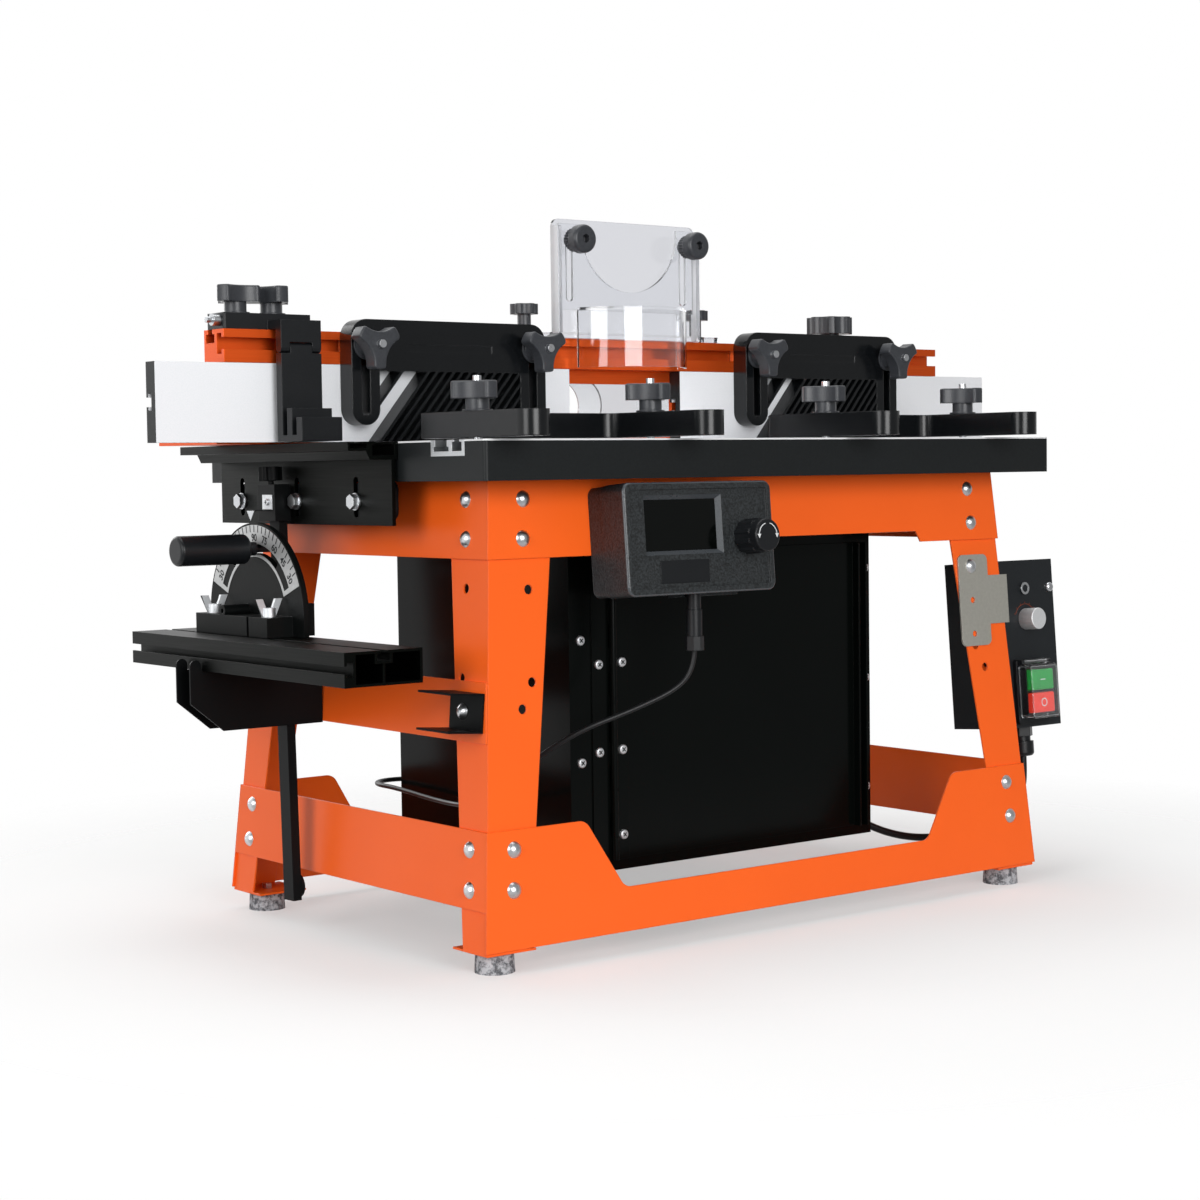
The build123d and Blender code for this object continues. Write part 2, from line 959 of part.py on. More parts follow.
def gauge_fence():
    x0 = -gauge_fence_out
    x1 = -gauge_fence_in
    z0 = gauge_fence_low + slide_gap
    z1 = -gauge_fence_high
    top_slot = -gauge_slot_middle
    section = rectangle(x0, x1, z0, z1)
    groove = tee_groove(top_slot, z1, gauge_slot_mouth, gauge_slot_width, gauge_slot_lip,
                        gauge_slot_floor)
    side = Pos(x0, (z0 + z1) / 2) * Rot(0, 0, 90) * tee_groove(
        0, 0, gauge_slot_mouth, gauge_slot_width, gauge_slot_lip, gauge_slot_floor)
    left = rectangle(x0 + gauge_slot_floor + gauge_wall, top_slot - gauge_wall / 2, z0 + gauge_wall,
                     z1 - gauge_wall)
    right = rectangle(top_slot + gauge_wall / 2, x1 - gauge_wall, z0 + gauge_wall, z1 - gauge_wall)
    tee_skin = gauge_slot_width / 2 + gauge_wall
    skin = rectangle(top_slot - tee_skin, top_slot + tee_skin, z1 - gauge_slot_floor - gauge_wall, z1)
    section = section - (left + right - skin) - groove - side
    return along_y(section, gauge_fence_front, gauge_fence_back)


gauge_fence_low = -bracket_high
pivot = (head_pivot_y, -head_pivot_z)


def gauge_head():
    """The half-round head plate with its arc slot, its base and rear blocks, and the wing nuts."""
    seat = -gauge_fence_high + seat_gap
    arc = Pos(*pivot) * Circle(head_radius)
    half = base_length / 2
    plate = arc & rectangle(pivot[0] - head_radius, pivot[0] + head_radius, seat, 0)
    ring = Circle(arc_slot_radius + arc_slot_width / 2) - Circle(arc_slot_radius - arc_slot_width / 2)
    wedge = Polygon((0, 0), (2 * arc_slot_reach, 2 * arc_slot_radius),
                    (-2 * arc_slot_reach, 2 * arc_slot_radius))
    plate -= Pos(*pivot) * (ring & wedge)
    disc = along_x(plate, -head_out, -head_out + head_plate)
    rear = block(-head_out, -head_in, pivot[0] - half, pivot[0] + half, seat, seat + head_rear_height)
    base = block(-base_out, -head_in, pivot[0] - half, pivot[0] + half, seat, seat + base_height)
    split = block(-base_out - past, -head_out, pivot[0] - half / 2, pivot[0] - half / 2 + base_split,
                  seat - past, seat + base_height + past)
    bore = rod((-head_out - past, *pivot), (-head_in + past, *pivot), pivot_radius + shaft_gap)
    boss = rod_x(-base_out, -head_out, boss_y, -boss_z, boss_radius)
    thread = rod_x(-base_out - past, -base_out + boss_deep, boss_y, -boss_z, boss_bore)
    nuts = [wing_nut(pivot[0] + way * wing_spread / 2, seat + base_height) for way in (-1, 1)]
    return group(disc + base + rear + boss - split - bore - thread, *nuts)


def wing_nut(y, z):
    """A wing nut that stands on the gauge's base block."""
    place = Pos(-wing_out, y, z)
    hub = post(wing_radius, wing_height)
    wing = Polygon((0, 0), (wing_radius, 0), (wing_span, wing_height * 2),
                   (wing_radius, wing_height * 2))
    wings = along_y(wing, -wing_thick / 2, wing_thick / 2)
    return place * (hub + wings + mirror(wings, about=Plane.YZ))


def gauge_bar():
    """The bar on its pivot, with pointer block, star knob and end disc, drawn upright and then leaned."""
    y = pivot[0]
    x0 = -head_in + slide_gap
    x1 = x0 + bar_thick
    bar = block(x0, x1, y - bar_width / 2, y + bar_width / 2, -bar_low, -bar_top)
    pin = rod((-head_out, *pivot), (x0, *pivot), pivot_radius)
    half = pointer_block_width / 2
    pointer = block(x1 - pointer_block_thick, x1, y - half, y + half, -pointer_block_low, -bar_top)
    neck = rod_z(-star_out, y, -bar_top - past, -star_low + past, pointer_screw)
    star = along_z(Pos(-star_out, y) * lobed(star_radius, star_flute, star_flutes), -star_low,
                   -star_high)
    disc = rod_x(x1, x1 + disc_thick, y, -bar_low + disc_up, disc_radius)
    whole = bar + pin + pointer + neck + star + disc
    return Pos(0, *pivot) * Rot(-bar_lean, 0, 0) * Pos(0, -pivot[0], -pivot[1]) * whole


def lobed(radius, depth, count):
    """A round outline with scalloped flutes."""
    flute = pi * radius / count
    bites = PolarLocations(radius + flute - depth, count)
    return Circle(radius) - [place * Circle(flute) for place in bites]


def gauge_handle():
    """The twist handle that clamps the head, on its stud in the arc slot."""
    z = pivot[1] + arc_slot_radius
    start = -head_out - slide_gap
    neck = rod_x(start, start - handle_neck_length, pivot[0], z, handle_neck)
    grip = rod_x(start - handle_neck_length, -handle_out, pivot[0], z, handle_radius)
    grip = fillet(grip.edges(), handle_radius / 4)
    stud = rod_x(start, -head_in - slide_gap, pivot[0], z, handle_stud)
    return grip + neck + stud


# Tee-shaped bracket

def tee_hole(drop):
    """A hole of the tee bracket on the front face, below the right leg's first punched hole."""
    x_in, depth = front_punches[0]
    v = down_slope(-depth)
    return half_front(v) - x_in, v - drop


def tee_bracket():
    v = [down_slope(-depth) for depth in (tee_plate_high, tee_arm_high, tee_arm_low, tee_plate_low)]
    x0 = tee_plate_left - mid_x
    x1 = tee_plate_right - mid_x
    plate = rectangle(x0, x1, v[3], v[0])
    plate = fillet(plate.vertices(), tee_round)
    plate += rectangle(x0 + tee_round, tee_arm_right - mid_x, v[2], v[1])
    plate -= [Pos(*tee_hole(drop)) * Circle(bolt_radius + bolt_room) for drop in tee_hole_drops]
    return prism(front_face.offset(-sheet), plate, sheet)


def tee_screw():
    """The domed screw that holds the tee bracket, in the leg's first punched hole."""
    return front_face * Pos(*tee_hole(0), 0) * carriage_bolt(2 * (sheet + seat_gap))


# Enclosure

hinge_y = shell_front - hinge_radius
door_back = shell_front - slide_gap
knuckle = (door_low - door_high) / hinge_knuckles


def knuckle_spans(first):
    """The heights of every second knuckle of the piano hinge."""
    starts = [-door_low + knuckle * number for number in range(first, hinge_knuckles, 2)]
    return [(start + slide_gap / 2, start + knuckle - slide_gap / 2) for start in starts]


def barrel(z0, z1):
    return rod_z(door_left, hinge_y, z0, z1, hinge_radius)


def hinge_bore():
    return rod_z(door_left, hinge_y, -door_low - past, past - door_high, hinge_pin + shaft_gap)


def enclosure_shell():
    """The open-topped sheet box with its door opening, its hinge leaf and the dust collar at the back."""
    top = under - seat_gap
    outer = block(shell_left, shell_right, shell_front, shell_back, -shell_low, top)
    inner = block(shell_left + shell_wall, shell_right - shell_wall, shell_front + shell_wall,
                  shell_back - shell_wall, -shell_low + shell_wall, 0)
    opening = block(door_left + door_lap, door_right - door_lap, shell_front - past,
                    shell_front + shell_wall + past, -door_low + door_lap, -door_high - door_lap)
    collar = rod_y(mid_x, shell_back - shell_wall, shell_back + collar_length, -collar_z, collar_radius)
    mouth = rod_y(mid_x, shell_back - 2 * shell_wall, shell_back + collar_length + past, -collar_z,
                  collar_radius - collar_wall)
    leaf = block(door_left - hinge_leaf, door_left, shell_front - shell_wall, shell_front, -door_low,
                 -door_high)
    gaps = [block(door_left - hinge_radius - slide_gap, door_left + hinge_radius,
                  shell_front - shell_wall - past, shell_front, z0 - slide_gap, z1 + slide_gap)
            for z0, z1 in knuckle_spans(1)]
    barrels = [barrel(z0, z1) for z0, z1 in knuckle_spans(0)]
    shell = outer - inner - opening + collar - mouth + (leaf - gaps) + barrels - hinge_bore()
    return shell - [place * screw_hole() for place in shell_screws]


def enclosure_door():
    """The door sheet with its hinge leaf and barrels, and the channel that serves as its handle."""
    sheet_left = door_left + hinge_radius + slide_gap
    plate = block(sheet_left, door_right - door_lip_width, door_back - door_sheet, door_back, -door_low,
                  -door_high)
    lip_x = door_right - door_lip_width
    channel = block(lip_x, door_right, door_back - door_lip, door_back, -door_low, -door_high)
    groove = block(lip_x + door_sheet, door_right - door_sheet, door_back - door_lip - past,
                   door_back - door_sheet, -door_low - past, past - door_high)
    tabs = [block(door_left, sheet_left + past, door_back - door_sheet, door_back, z0, z1)
            for z0, z1 in knuckle_spans(1)]
    barrels = [barrel(z0, z1) for z0, z1 in knuckle_spans(1)]
    trim = block(door_left - hinge_radius, door_left + hinge_radius, door_back, shell_front, -door_low,
                 -door_high)
    leaf_face = door_back - door_sheet - door_leaf_thick
    leaf = block(sheet_left, door_left + door_leaf, leaf_face, door_back, -door_low, -door_high)
    heads = [Plane((door_left + door_screw_in, leaf_face, -z), z_dir=(0, -1, 0)) * pan_head()
             for z in door_screw_depths]
    whole = plate + (channel - groove) + tabs + leaf + [one - trim for one in barrels] + heads
    return whole - hinge_bore()


def screw_hole():
    return Pos(0, 0, -screw_depth) * Cylinder(screw_shank + shaft_gap, 2 * screw_depth)


def pan_head():
    """A low round screw head that stands on z = 0."""
    head = post(screw_radius, screw_height)
    return fillet(head.edges().group_by(Axis.Z)[-1], screw_height * 2 / 3)


def pan_screw():
    """A screw with a low round head, its shank below z = 0."""
    return pan_head() + Pos(0, 0, -screw_depth / 2) * Cylinder(screw_shank, screw_depth)


front_strip = shell_left + (door_left - hinge_leaf - shell_left) / 2
right_strip = (door_right + shell_right) / 2
leaf_line = door_left - leaf_screw_in
leaf_front = shell_front - shell_wall
shell_screws = [Plane((front_strip, shell_front, -z), z_dir=(0, -1, 0)) for z in strip_depths]
shell_screws += [Plane((leaf_line, leaf_front, -z), z_dir=(0, -1, 0)) for z in leaf_depths]
shell_screws += [Plane((right_strip, shell_front, -z), z_dir=(0, -1, 0)) for z in right_depths]


def enclosure_hardware():
    pin = rod_z(door_left, hinge_y, -door_low, -door_high, hinge_pin)
    return group(pin, *[place * pan_screw() for place in shell_screws])


# Control unit

def unit_outline(grow):
    """The control unit's rounded outline on the frame's front face, grown or shrunk all round."""
    u0 = unit_left - mid_x - grow
    u1 = unit_right - mid_x + grow
    v0 = down_slope(-unit_low) - grow
    v1 = down_slope(-unit_high) + grow
    return Pos((u0 + u1) / 2, (v0 + v1) / 2) * RectangleRounded(u1 - u0, v1 - v0, unit_round + grow)


encoder_place = front_face * Pos(encoder_x - mid_x, down_slope(-encoder_z), unit_depth - unit_recess)
unit_floor = Vector(*(front_face * Pos(0, down_slope(-unit_low), plug_out)).position)
plug_y = unit_floor.Y


def display_housing():
    """The rear half of the control unit, with the small tab under it."""
    shell = prism(front_face.offset(seat_gap), unit_outline(-unit_step), unit_seam - seat_gap)
    hollow = prism(front_face.offset(unit_wall), unit_outline(-unit_wall), unit_seam)
    v = down_slope(-unit_low)
    tab = rectangle(tab_left - mid_x, tab_right - mid_x, v - tab_thick, v + unit_wall)
    return shell - hollow + prism(front_face.offset(seat_gap), tab, unit_seam - seat_gap)


def screen_outline(grow):
    """The screen's outline on the frame's front face, grown all round."""
    return rectangle(screen_left - mid_x - grow, screen_right - mid_x + grow,
                     down_slope(-screen_low) - grow, down_slope(-screen_high) + grow)


def display_bezel():
    """The front half of the control unit, with its stepped face and bevelled window."""
    start = unit_seam + seat_gap
    shell = prism(front_face.offset(start), unit_outline(0), unit_depth - start)
    front = shell.faces().sort_by(SortBy.AREA)[-1]
    shell = fillet(front.outer_wire().edges(), unit_wall)
    hollow = prism(front_face.offset(start - past), unit_outline(-unit_wall),
                   unit_depth - start - 2 * unit_wall)
    recess = prism(front_face.offset(unit_depth - unit_recess), unit_outline(-unit_rim),
                   2 * unit_recess)
    floor = unit_depth - unit_recess - screen_recess
    window = loft([front_face.offset(floor) * screen_outline(0),
                   front_face.offset(unit_depth - unit_recess) * screen_outline(screen_bevel)])
    slot_through = prism(front_face.offset(start), screen_outline(0), unit_depth)
    shaft = encoder_place * Cylinder(encoder_shaft + shaft_gap, 4 * unit_wall)
    return shell - hollow - recess - window - slot_through - shaft - plug_hole()


def display_screen():
    floor = unit_depth - unit_recess - screen_recess
    return prism(front_face.offset(floor - glass_thick), screen_outline(-seat_gap), glass_thick)


def encoder_knob():
    """The fluted knob that is turned to set the height, on its shaft."""
    base = Pos(0, 0, slide_gap)
    ring = base * extrude(lobed(encoder_radius, encoder_flute, encoder_flutes), encoder_length * 2 / 3)
    cap = base * post(encoder_cap, encoder_length)
    cap = fillet(cap.edges().group_by(Axis.Z)[-1], encoder_flute)
    shaft = Pos(0, 0, -2 * unit_wall) * post(encoder_shaft, 2 * unit_wall + past)
    return encoder_place * (ring + cap + shaft)


def plug_hole():
    """The hole in the control unit's underside for its socket."""
    return rod_z(plug_x, plug_y, unit_floor.Z - 2 * unit_wall, unit_floor.Z + 2 * unit_wall,
                 plug_collar + seat_gap)


plug_end = unit_floor.Z - plug_collar_length - plug_length - plug_nut_length


def display_plug():
    """The round plug under the control unit: collar, body and back nut, with the cable's bore."""
    collar_end = unit_floor.Z - plug_collar_length
    nut_top = collar_end - plug_length
    body = rod_z(plug_x, plug_y, collar_end, unit_floor.Z + unit_wall, plug_collar)
    body += rod_z(plug_x, plug_y, nut_top, collar_end, plug_radius)
    body += along_z(Pos(plug_x, plug_y) * RegularPolygon(plug_nut_radius, plug_nut_sides), plug_end,
                    nut_top)
    bore = rod_z(plug_x, plug_y, plug_end - past, plug_end + plug_nut_length / 2,
                 display_cable_radius + shaft_gap)
    return body - bore


# Switch box

box_tall = (box_low - box_high) / cos(tilt)
box_left = table_length - corner_x(-box_low - sin(tilt) * box_deep) + seat_gap
box_place = Plane((box_left, box_front, -box_high), x_dir=(0, cos(tilt), -sin(tilt)),
                  z_dir=(1, 0, 0)).location


def on_panel(depth, out):
    """A place on the switch box's panel, looking out of it, at a depth below the table."""
    up = (box_high - depth) / cos(tilt)
    return box_place * Plane((-out, up, panel_middle), x_dir=(0, 0, 1), z_dir=(-1, 0, 0)).location


def box_block(u0, u1, v0, v1, n0, n1):
    """A block in the leaning box's own directions: back from its panel, up from its top, to the right."""
    return box_place * block(u0, u1, v0, v1, n0, n1)


def switch_box():
    """The sheet box with its front panel, lamp and screw, and the wedge that sets it off the leg."""
    body_front = panel_thick + seat_gap
    body = box_block(body_front, box_deep, -box_tall, 0, 0, box_wide)
    hollow = box_block(body_front - past, box_deep - box_wall, box_wall - box_tall, -box_wall, box_wall,
                       box_wide - box_wall)
    body = body - hollow - gland_place * Cylinder(gland_nut + shaft_gap, 6 * box_wall)
    panel = box_block(0, panel_thick, -box_tall, 0, 0, box_wide)
    panel -= on_panel(speed_z, 0) * Cylinder(speed_shaft + shaft_gap, 4 * panel_thick)
    panel -= on_panel(lamp_z, 0) * Cylinder(lamp_radius, 4 * panel_thick)
    lamp = on_panel(lamp_z, -panel_thick) * post(lamp_radius - shaft_gap, 2 * panel_thick)
    dome = post(panel_dome_radius, panel_dome_height)
    dome = fillet(dome.edges().group_by(Axis.Z)[-1], panel_dome_height * 4 / 5)
    dome = on_panel(lamp_z, seat_gap) * Pos(panel_dome_side, 0, 0) * dome
    wedge = block(box_left - box_wedge, box_left - seat_gap, wedge_front, wedge_back, -wedge_low,
                  -wedge_high)
    leg_side = right_face.location * block(-table_depth, table_depth, -table_length, table_length,
                                           -table_length, seat_gap)
    return group(body, panel - switch_cutout(), lamp, dome, wedge - leg_side)


switch_depth = (switch_high + switch_low) / 2
switch_tall = switch_low - switch_high
gland_place = box_place * Pos(gland_in, -box_tall, gland_out) * Rot(90, 0, 0)
start_up = button_split / 2 + start_tall / 2
stop_up = -button_split / 2 - stop_tall / 2
buttons_clear = button_wide + 2 * button_room


def switch_cutout():
    """The opening in the panel for the switch's body."""
    return on_panel(switch_depth, 0) * Box(buttons_clear + 2 * switch_round,
                                           cover_tall - 2 * cover_wall, 4 * panel_thick)


def switch_base():
    """The switch's rounded frame on the panel, with the wells of its two buttons."""
    frame = extrude(RectangleRounded(switch_wide, switch_tall, switch_round), switch_deep)
    throat = Rectangle(buttons_clear + 2 * (switch_round - seat_gap),
                       cover_tall - 2 * (cover_wall + seat_gap))
    neck = Pos(0, 0, -2 * panel_thick) * extrude(throat, 2 * panel_thick)
    wells = [Pos(0, up, 0) * Box(buttons_clear, tall + 2 * button_room, 4 * plinth_high)
             for up, tall in ((start_up, start_tall), (stop_up, stop_tall))]
    rim = 2 * (button_room + plinth_rim)
    plinth = Pos(0, (start_up + start_tall / 2 + stop_up - stop_tall / 2) / 2, plinth_high / 2) * Box(
        button_wide + rim, start_tall + stop_tall + button_split + rim, plinth_high)
    ears = [Pos(way * cover_ear, cover_hinge_up, cover_hinge_out) * Rot(0, 90, 0)
            * Cylinder(cover_pin * 2, switch_round) for way in (-1, 1)]
    foot = [Pos(way * cover_ear, cover_hinge_up, (switch_deep + cover_hinge_out) / 2)
            * Box(switch_round, 4 * cover_pin, cover_hinge_out - switch_deep + 2 * seat_gap)
            for way in (-1, 1)]
    pin = Pos(0, cover_hinge_up, cover_hinge_out) * Rot(0, 90, 0) * Cylinder(cover_pin, 2 * cover_ear)
    return on_panel(switch_depth, seat_gap) * (frame + neck + plinth - wells + ears + foot + pin)


cover_hinge_up = cover_tall / 2 + 2 * cover_pin
cover_hinge_out = switch_deep + 3 * cover_pin
cover_ear = switch_wide / 2 - switch_round


def switch_cover():
    """The clear flap over the buttons, hinged along its top."""
    start = switch_deep + slide_gap
    outline = RectangleRounded(cover_wide, cover_tall, switch_round)
    outer = Pos(0, 0, start) * extrude(outline, cover_deep)
    front = outer.faces().sort_by(Axis.Z)[-1]
    outer = fillet(front.outer_wire().edges(), cover_wall)
    inside = RectangleRounded(cover_wide - 2 * cover_wall, cover_tall - 2 * cover_wall,
                              switch_round - cover_wall)
    inner = Pos(0, 0, start - past) * extrude(inside, cover_deep + past - cover_wall)
    length = 2 * cover_ear - switch_round - 2 * slide_gap
    hinge = Pos(0, cover_hinge_up, cover_hinge_out) * Rot(0, 90, 0)
    sleeve = hinge * Cylinder(2 * cover_pin, length)
    tongue = Box(length, 2 * cover_pin, 2 * cover_wall)
    web = Pos(0, cover_tall / 2 + cover_pin / 2, cover_hinge_out) * tongue
    bore = hinge * Cylinder(cover_pin + shaft_gap, switch_wide)
    return on_panel(switch_depth, seat_gap) * (outer - inner + sleeve + web - bore)


def push_button(up, tall):
    """A square push button in its well."""
    cap = Pos(0, up, -panel_thick) * extrude(RectangleRounded(button_wide, tall, switch_round / 2),
                                             button_out + panel_thick)
    front = cap.faces().sort_by(Axis.Z)[-1]
    return on_panel(switch_depth, seat_gap) * fillet(front.outer_wire().edges(), switch_round / 3)


def speed_knob():
    """The silver knob that sets the motor's speed."""
    body = Pos(0, 0, slide_gap) * post(speed_radius, speed_length)
    body = fillet(body.edges().group_by(Axis.Z)[-1], speed_round)
    shaft = Pos(0, 0, -2 * panel_thick) * post(speed_shaft, 2 * panel_thick + past)
    return on_panel(speed_z, 0) * (body + shaft)


def cable_gland():
    """The gland under the switch box, with the bore that the lead leaves by."""
    low = gland_length / 3
    body = extrude(RegularPolygon(gland_radius, 6), low)
    body += Pos(0, 0, low) * post(gland_radius * 3 / 4, low)
    cap = Pos(0, 0, 3 * low / 2) * post(gland_radius, 3 * low / 2)
    body += fillet(cap.edges().group_by(Axis.Z)[-1], gland_radius / 3)
    thread = Pos(0, 0, -2 * box_wall) * post(gland_nut, 2 * box_wall + past)
    bore = Pos(0, 0, gland_length) * Cylinder(motor_lead_radius + shaft_gap, gland_length)
    return gland_place * (Pos(0, 0, seat_gap) * body + thread - bore)


def wall_bush(wall, outward, radius):
    """The round bush on the enclosure that a cable goes into."""
    start = Vector(*wall) + Vector(*outward) * seat_gap
    end = start + Vector(*outward) * socket_length
    bore = rod(tuple(start - Vector(*outward)), tuple(end + Vector(*outward)), radius + shaft_gap)
    return rod(tuple(start), tuple(end), 2 * radius) - bore


display_wall = (display_points[-1][0] + (1 + 2 ** 0.5) * loop_step, shell_back, loop_z)
lead_wall = (shell_right, *lead_end)


def display_route():
    """The display cable's points: out of the plug and round the enclosure's back corner."""
    x = display_points[-1][0]
    far = shell_back + 2 * seat_gap + loop_step
    slant = loop_step / 2 ** 0.5
    plug = [(plug_x, plug_y, plug_end + plug_nut_length / 3),
            (plug_x, plug_y, plug_end - plug_nut_length)]
    loop = [(x, far), (x + slant, far + slant), (x + slant + loop_step, far + slant),
            (display_wall[0], far), (display_wall[0], shell_back + 2 * seat_gap)]
    return plug + list(display_points) + [(*place, loop_z) for place in loop]


def lead_route():
    """The motor lead's points: down out of the gland, under the frame and up to the enclosure's wall."""
    first = (gland_place * Pos(0, 0, gland_length * 2 / 3)).position
    second = (gland_place * Pos(0, 0, gland_length * 5 / 3)).position
    last = [(shell_right + lead_run, *lead_end), (shell_right + 2 * seat_gap, *lead_end)]
    return [tuple(first), tuple(second)] + list(lead_points) + last


def cable_fittings():
    display_bush = wall_bush(display_wall, (0, 1, 0), display_cable_radius)
    lead_bush = wall_bush(lead_wall, (1, 0, 0), motor_lead_radius)
    return group(display_plug(), cable_gland(), display_bush, lead_bush)


def cord(route, radius):
    """A round cable along a route, with each bend as wide as its two runs allow."""
    points = [Vector(*point) for point in route]
    radii = []
    for before, here, after in zip(points, points[1:], points[2:]):
        run = min((here - before).length, (after - here).length)
        turn = radians((here - before).get_angle(after - here))
        radii.append(bend_share * run / tan(turn / 2))
    path = FilletPolyline(*points, radius=radii)
    tube = sweep(Plane(path @ 0, z_dir=path % 0) * Circle(radius), path)
    full = pi * radius ** 2 * path.length
    print("cable length", round(path.length), "bends", [round(bend) for bend in radii])
    print("volume share", round(tube.volume / full, 4))
    return tube


# Fence

fence_back = fence_y + fence_deep
face_back = fence_y + face_thick
wall_front = face_back + slide_gap
wall_back = wall_front + fence_wall
fence_low = face_high + slide_gap
top_tee_y = fence_y + fence_top_tee_y
lock_places = (lock_inset, table_length - lock_inset)
face_middle = (face_low + face_high) / 2
face_bolt_places = (gap_left - face_bolt_out, gap_left - face_bolt_in, gap_right + face_bolt_in,
                    gap_right + face_bolt_out)


def fence_extrusion():
    """The long anodised section: a head with two T-slots, a wall behind the faces and a base."""
    head = rectangle(fence_y, fence_back, fence_low, fence_top)
    front = Pos(fence_y, fence_tee_z) * Rot(0, 0, 90) * tee_groove(
        0, 0, fence_tee_mouth, fence_tee_width, fence_tee_lip, fence_tee_floor)
    top = tee_groove(top_tee_y, fence_top, fence_top_tee_mouth, fence_top_tee_width, fence_top_tee_lip,
                     fence_top_tee_floor)
    wall = rectangle(wall_front, wall_back, fence_lip, fence_low + fence_wall)
    base = rectangle(wall_front, base_back, fence_lip, fence_lip + base_thick)
    section = head - front - top + wall + base
    bar = along_x(section, fence_left, fence_right)
    room = cutter_window_room
    window = block(gap_left - room, gap_right + room, fence_y, wall_back + hood_deep - hood_wall, -past,
                   cutter_window_high)
    slots = [along_z(upright_slot(x, lock_y - lock_slot_back, lock_y + lock_slot_front,
                                  2 * (lock_stud + bolt_room)), -past, 2 * base_thick)
             for x in lock_places]
    holes = [rod_y(x, wall_front - past, wall_back + past, face_middle, bolt_radius + bolt_room)
             for x in face_bolt_places]
    return bar - window - slots - holes


def fence_face(x0, x1):
    """One white face board, with the groove in its back that it is clamped by."""
    section = rectangle(fence_y, face_back, face_low, face_high)
    groove = Pos(face_back, face_middle) * Rot(0, 0, -90) * tee_groove(
        0, 0, face_groove_mouth, face_groove_tall, face_groove_lip, face_groove)
    return along_x(section - groove, x0, x1)


def face_bolt(x):
    """A bolt with its head in a face's groove and its nut behind the fence's wall."""
    half = face_groove_tall / 2 - tee_nut_room
    y0 = face_back - face_groove + tee_nut_room
    head = block(x - half, x + half, y0, face_back - face_groove_lip - tee_nut_room,
                 face_middle - half, face_middle + half)
    nut_front = wall_back + seat_gap
    shank = rod_y(x, y0, nut_front + nut_height + bolt_tail, face_middle, bolt_radius)
    nut = Plane((x, nut_front, face_middle), z_dir=(0, 1, 0)) * hex_nut(nut_radius, nut_height)
    return head + shank + nut


def dust_hood():
    """The clear hood behind the cutter, open to the front and below, with a round hose port."""
    x0 = gap_left - cutter_window_room
    x1 = gap_right + cutter_window_room
    y0 = wall_back + seat_gap
    y1 = wall_back + hood_deep
    z0 = fence_lip + base_thick + seat_gap
    z1 = port_z + port_radius + hood_wall
    box = block(x0 - hood_wall, x1 + hood_wall, y0, y1, z0, z1)
    hollow = block(x0, x1, y0 - past, y1 - hood_wall, z0 - past, z1 - hood_wall)
    port = rod_y(mid_x, y1 - hood_wall, y1 + port_length, port_z, port_radius)
    bore = rod_y(mid_x, y1 - 2 * hood_wall, y1 + port_length + past, port_z, port_radius - hood_wall)
    return box - hollow + port - bore


def guard_base():
    """The clear upright plate with ribs at its sides and a foot on the fence."""
    plate = block(guard_left, guard_right, guard_face, guard_face + guard_thick, fence_top + slide_gap,
                  guard_high)
    plate = fillet(plate.edges().filter_by(Axis.Y).group_by(Axis.Z)[-1], guard_round)
    foot_top = fence_top + slide_gap + guard_foot
    foot = block(guard_left, guard_right, guard_face, fence_back, fence_top + slide_gap, foot_top)
    foot += block(guard_left - guard_foot_over, guard_right + guard_foot_over, fence_y + slide_gap,
                  fence_back, fence_top + slide_gap, foot_top)
    ribs = [block(x, x + guard_rib, guard_face - guard_rib_deep, guard_face + past,
                  fence_top + slide_gap, guard_high - guard_round)
            for x in (guard_left, guard_right - guard_rib)]
    holes = [rod_y(x, guard_face - past, guard_face + guard_thick + past, guard_knob_z,
                   guard_knob_stud + shaft_gap) for x in guard_knob_places]
    studs = [rod_z(x, top_tee_y, fence_top, fence_top + 2 * guard_foot, knob_stud + shaft_gap)
             for x in clamp_places]
    return plate + foot + ribs - holes - studs


guard_knob_places = (guard_left + guard_knob_in, guard_right - guard_knob_in)
clamp_places = (guard_left - clamp_out_left, guard_right + clamp_out_right)
panel_back = guard_face - slide_gap
panel_front = panel_back - shield_panel


def guard_shield():
    """The clear shield in front of the cutter: a slotted panel with a cut top, a ledge and a curved wall."""
    x0 = guard_left + guard_rib + slide_gap
    x1 = guard_right - guard_rib - slide_gap
    panel = rectangle(x0, x1, shield_high - shield_ledge, shield_panel_high)
    panel -= [upright_slot(x, shield_slot_low, shield_slot_high, shield_slot_width)
              for x in guard_knob_places]
    panel -= Pos(mid_x, shield_cut_z) * Circle(shield_cut)
    front = rectangle(0, table_length, 0, panel_back)
    round_wall = Pos(mid_x, shield_middle_y) * Circle(shield_radius) & front
    hollow = Pos(mid_x, shield_middle_y) * Circle(shield_radius - shield_wall) & front
    ledge = along_z(round_wall, shield_high - shield_ledge, shield_high)
    wall = along_z(round_wall - hollow, shield_low, shield_high)
    return along_y(panel, panel_front, panel_back) + ledge + wall


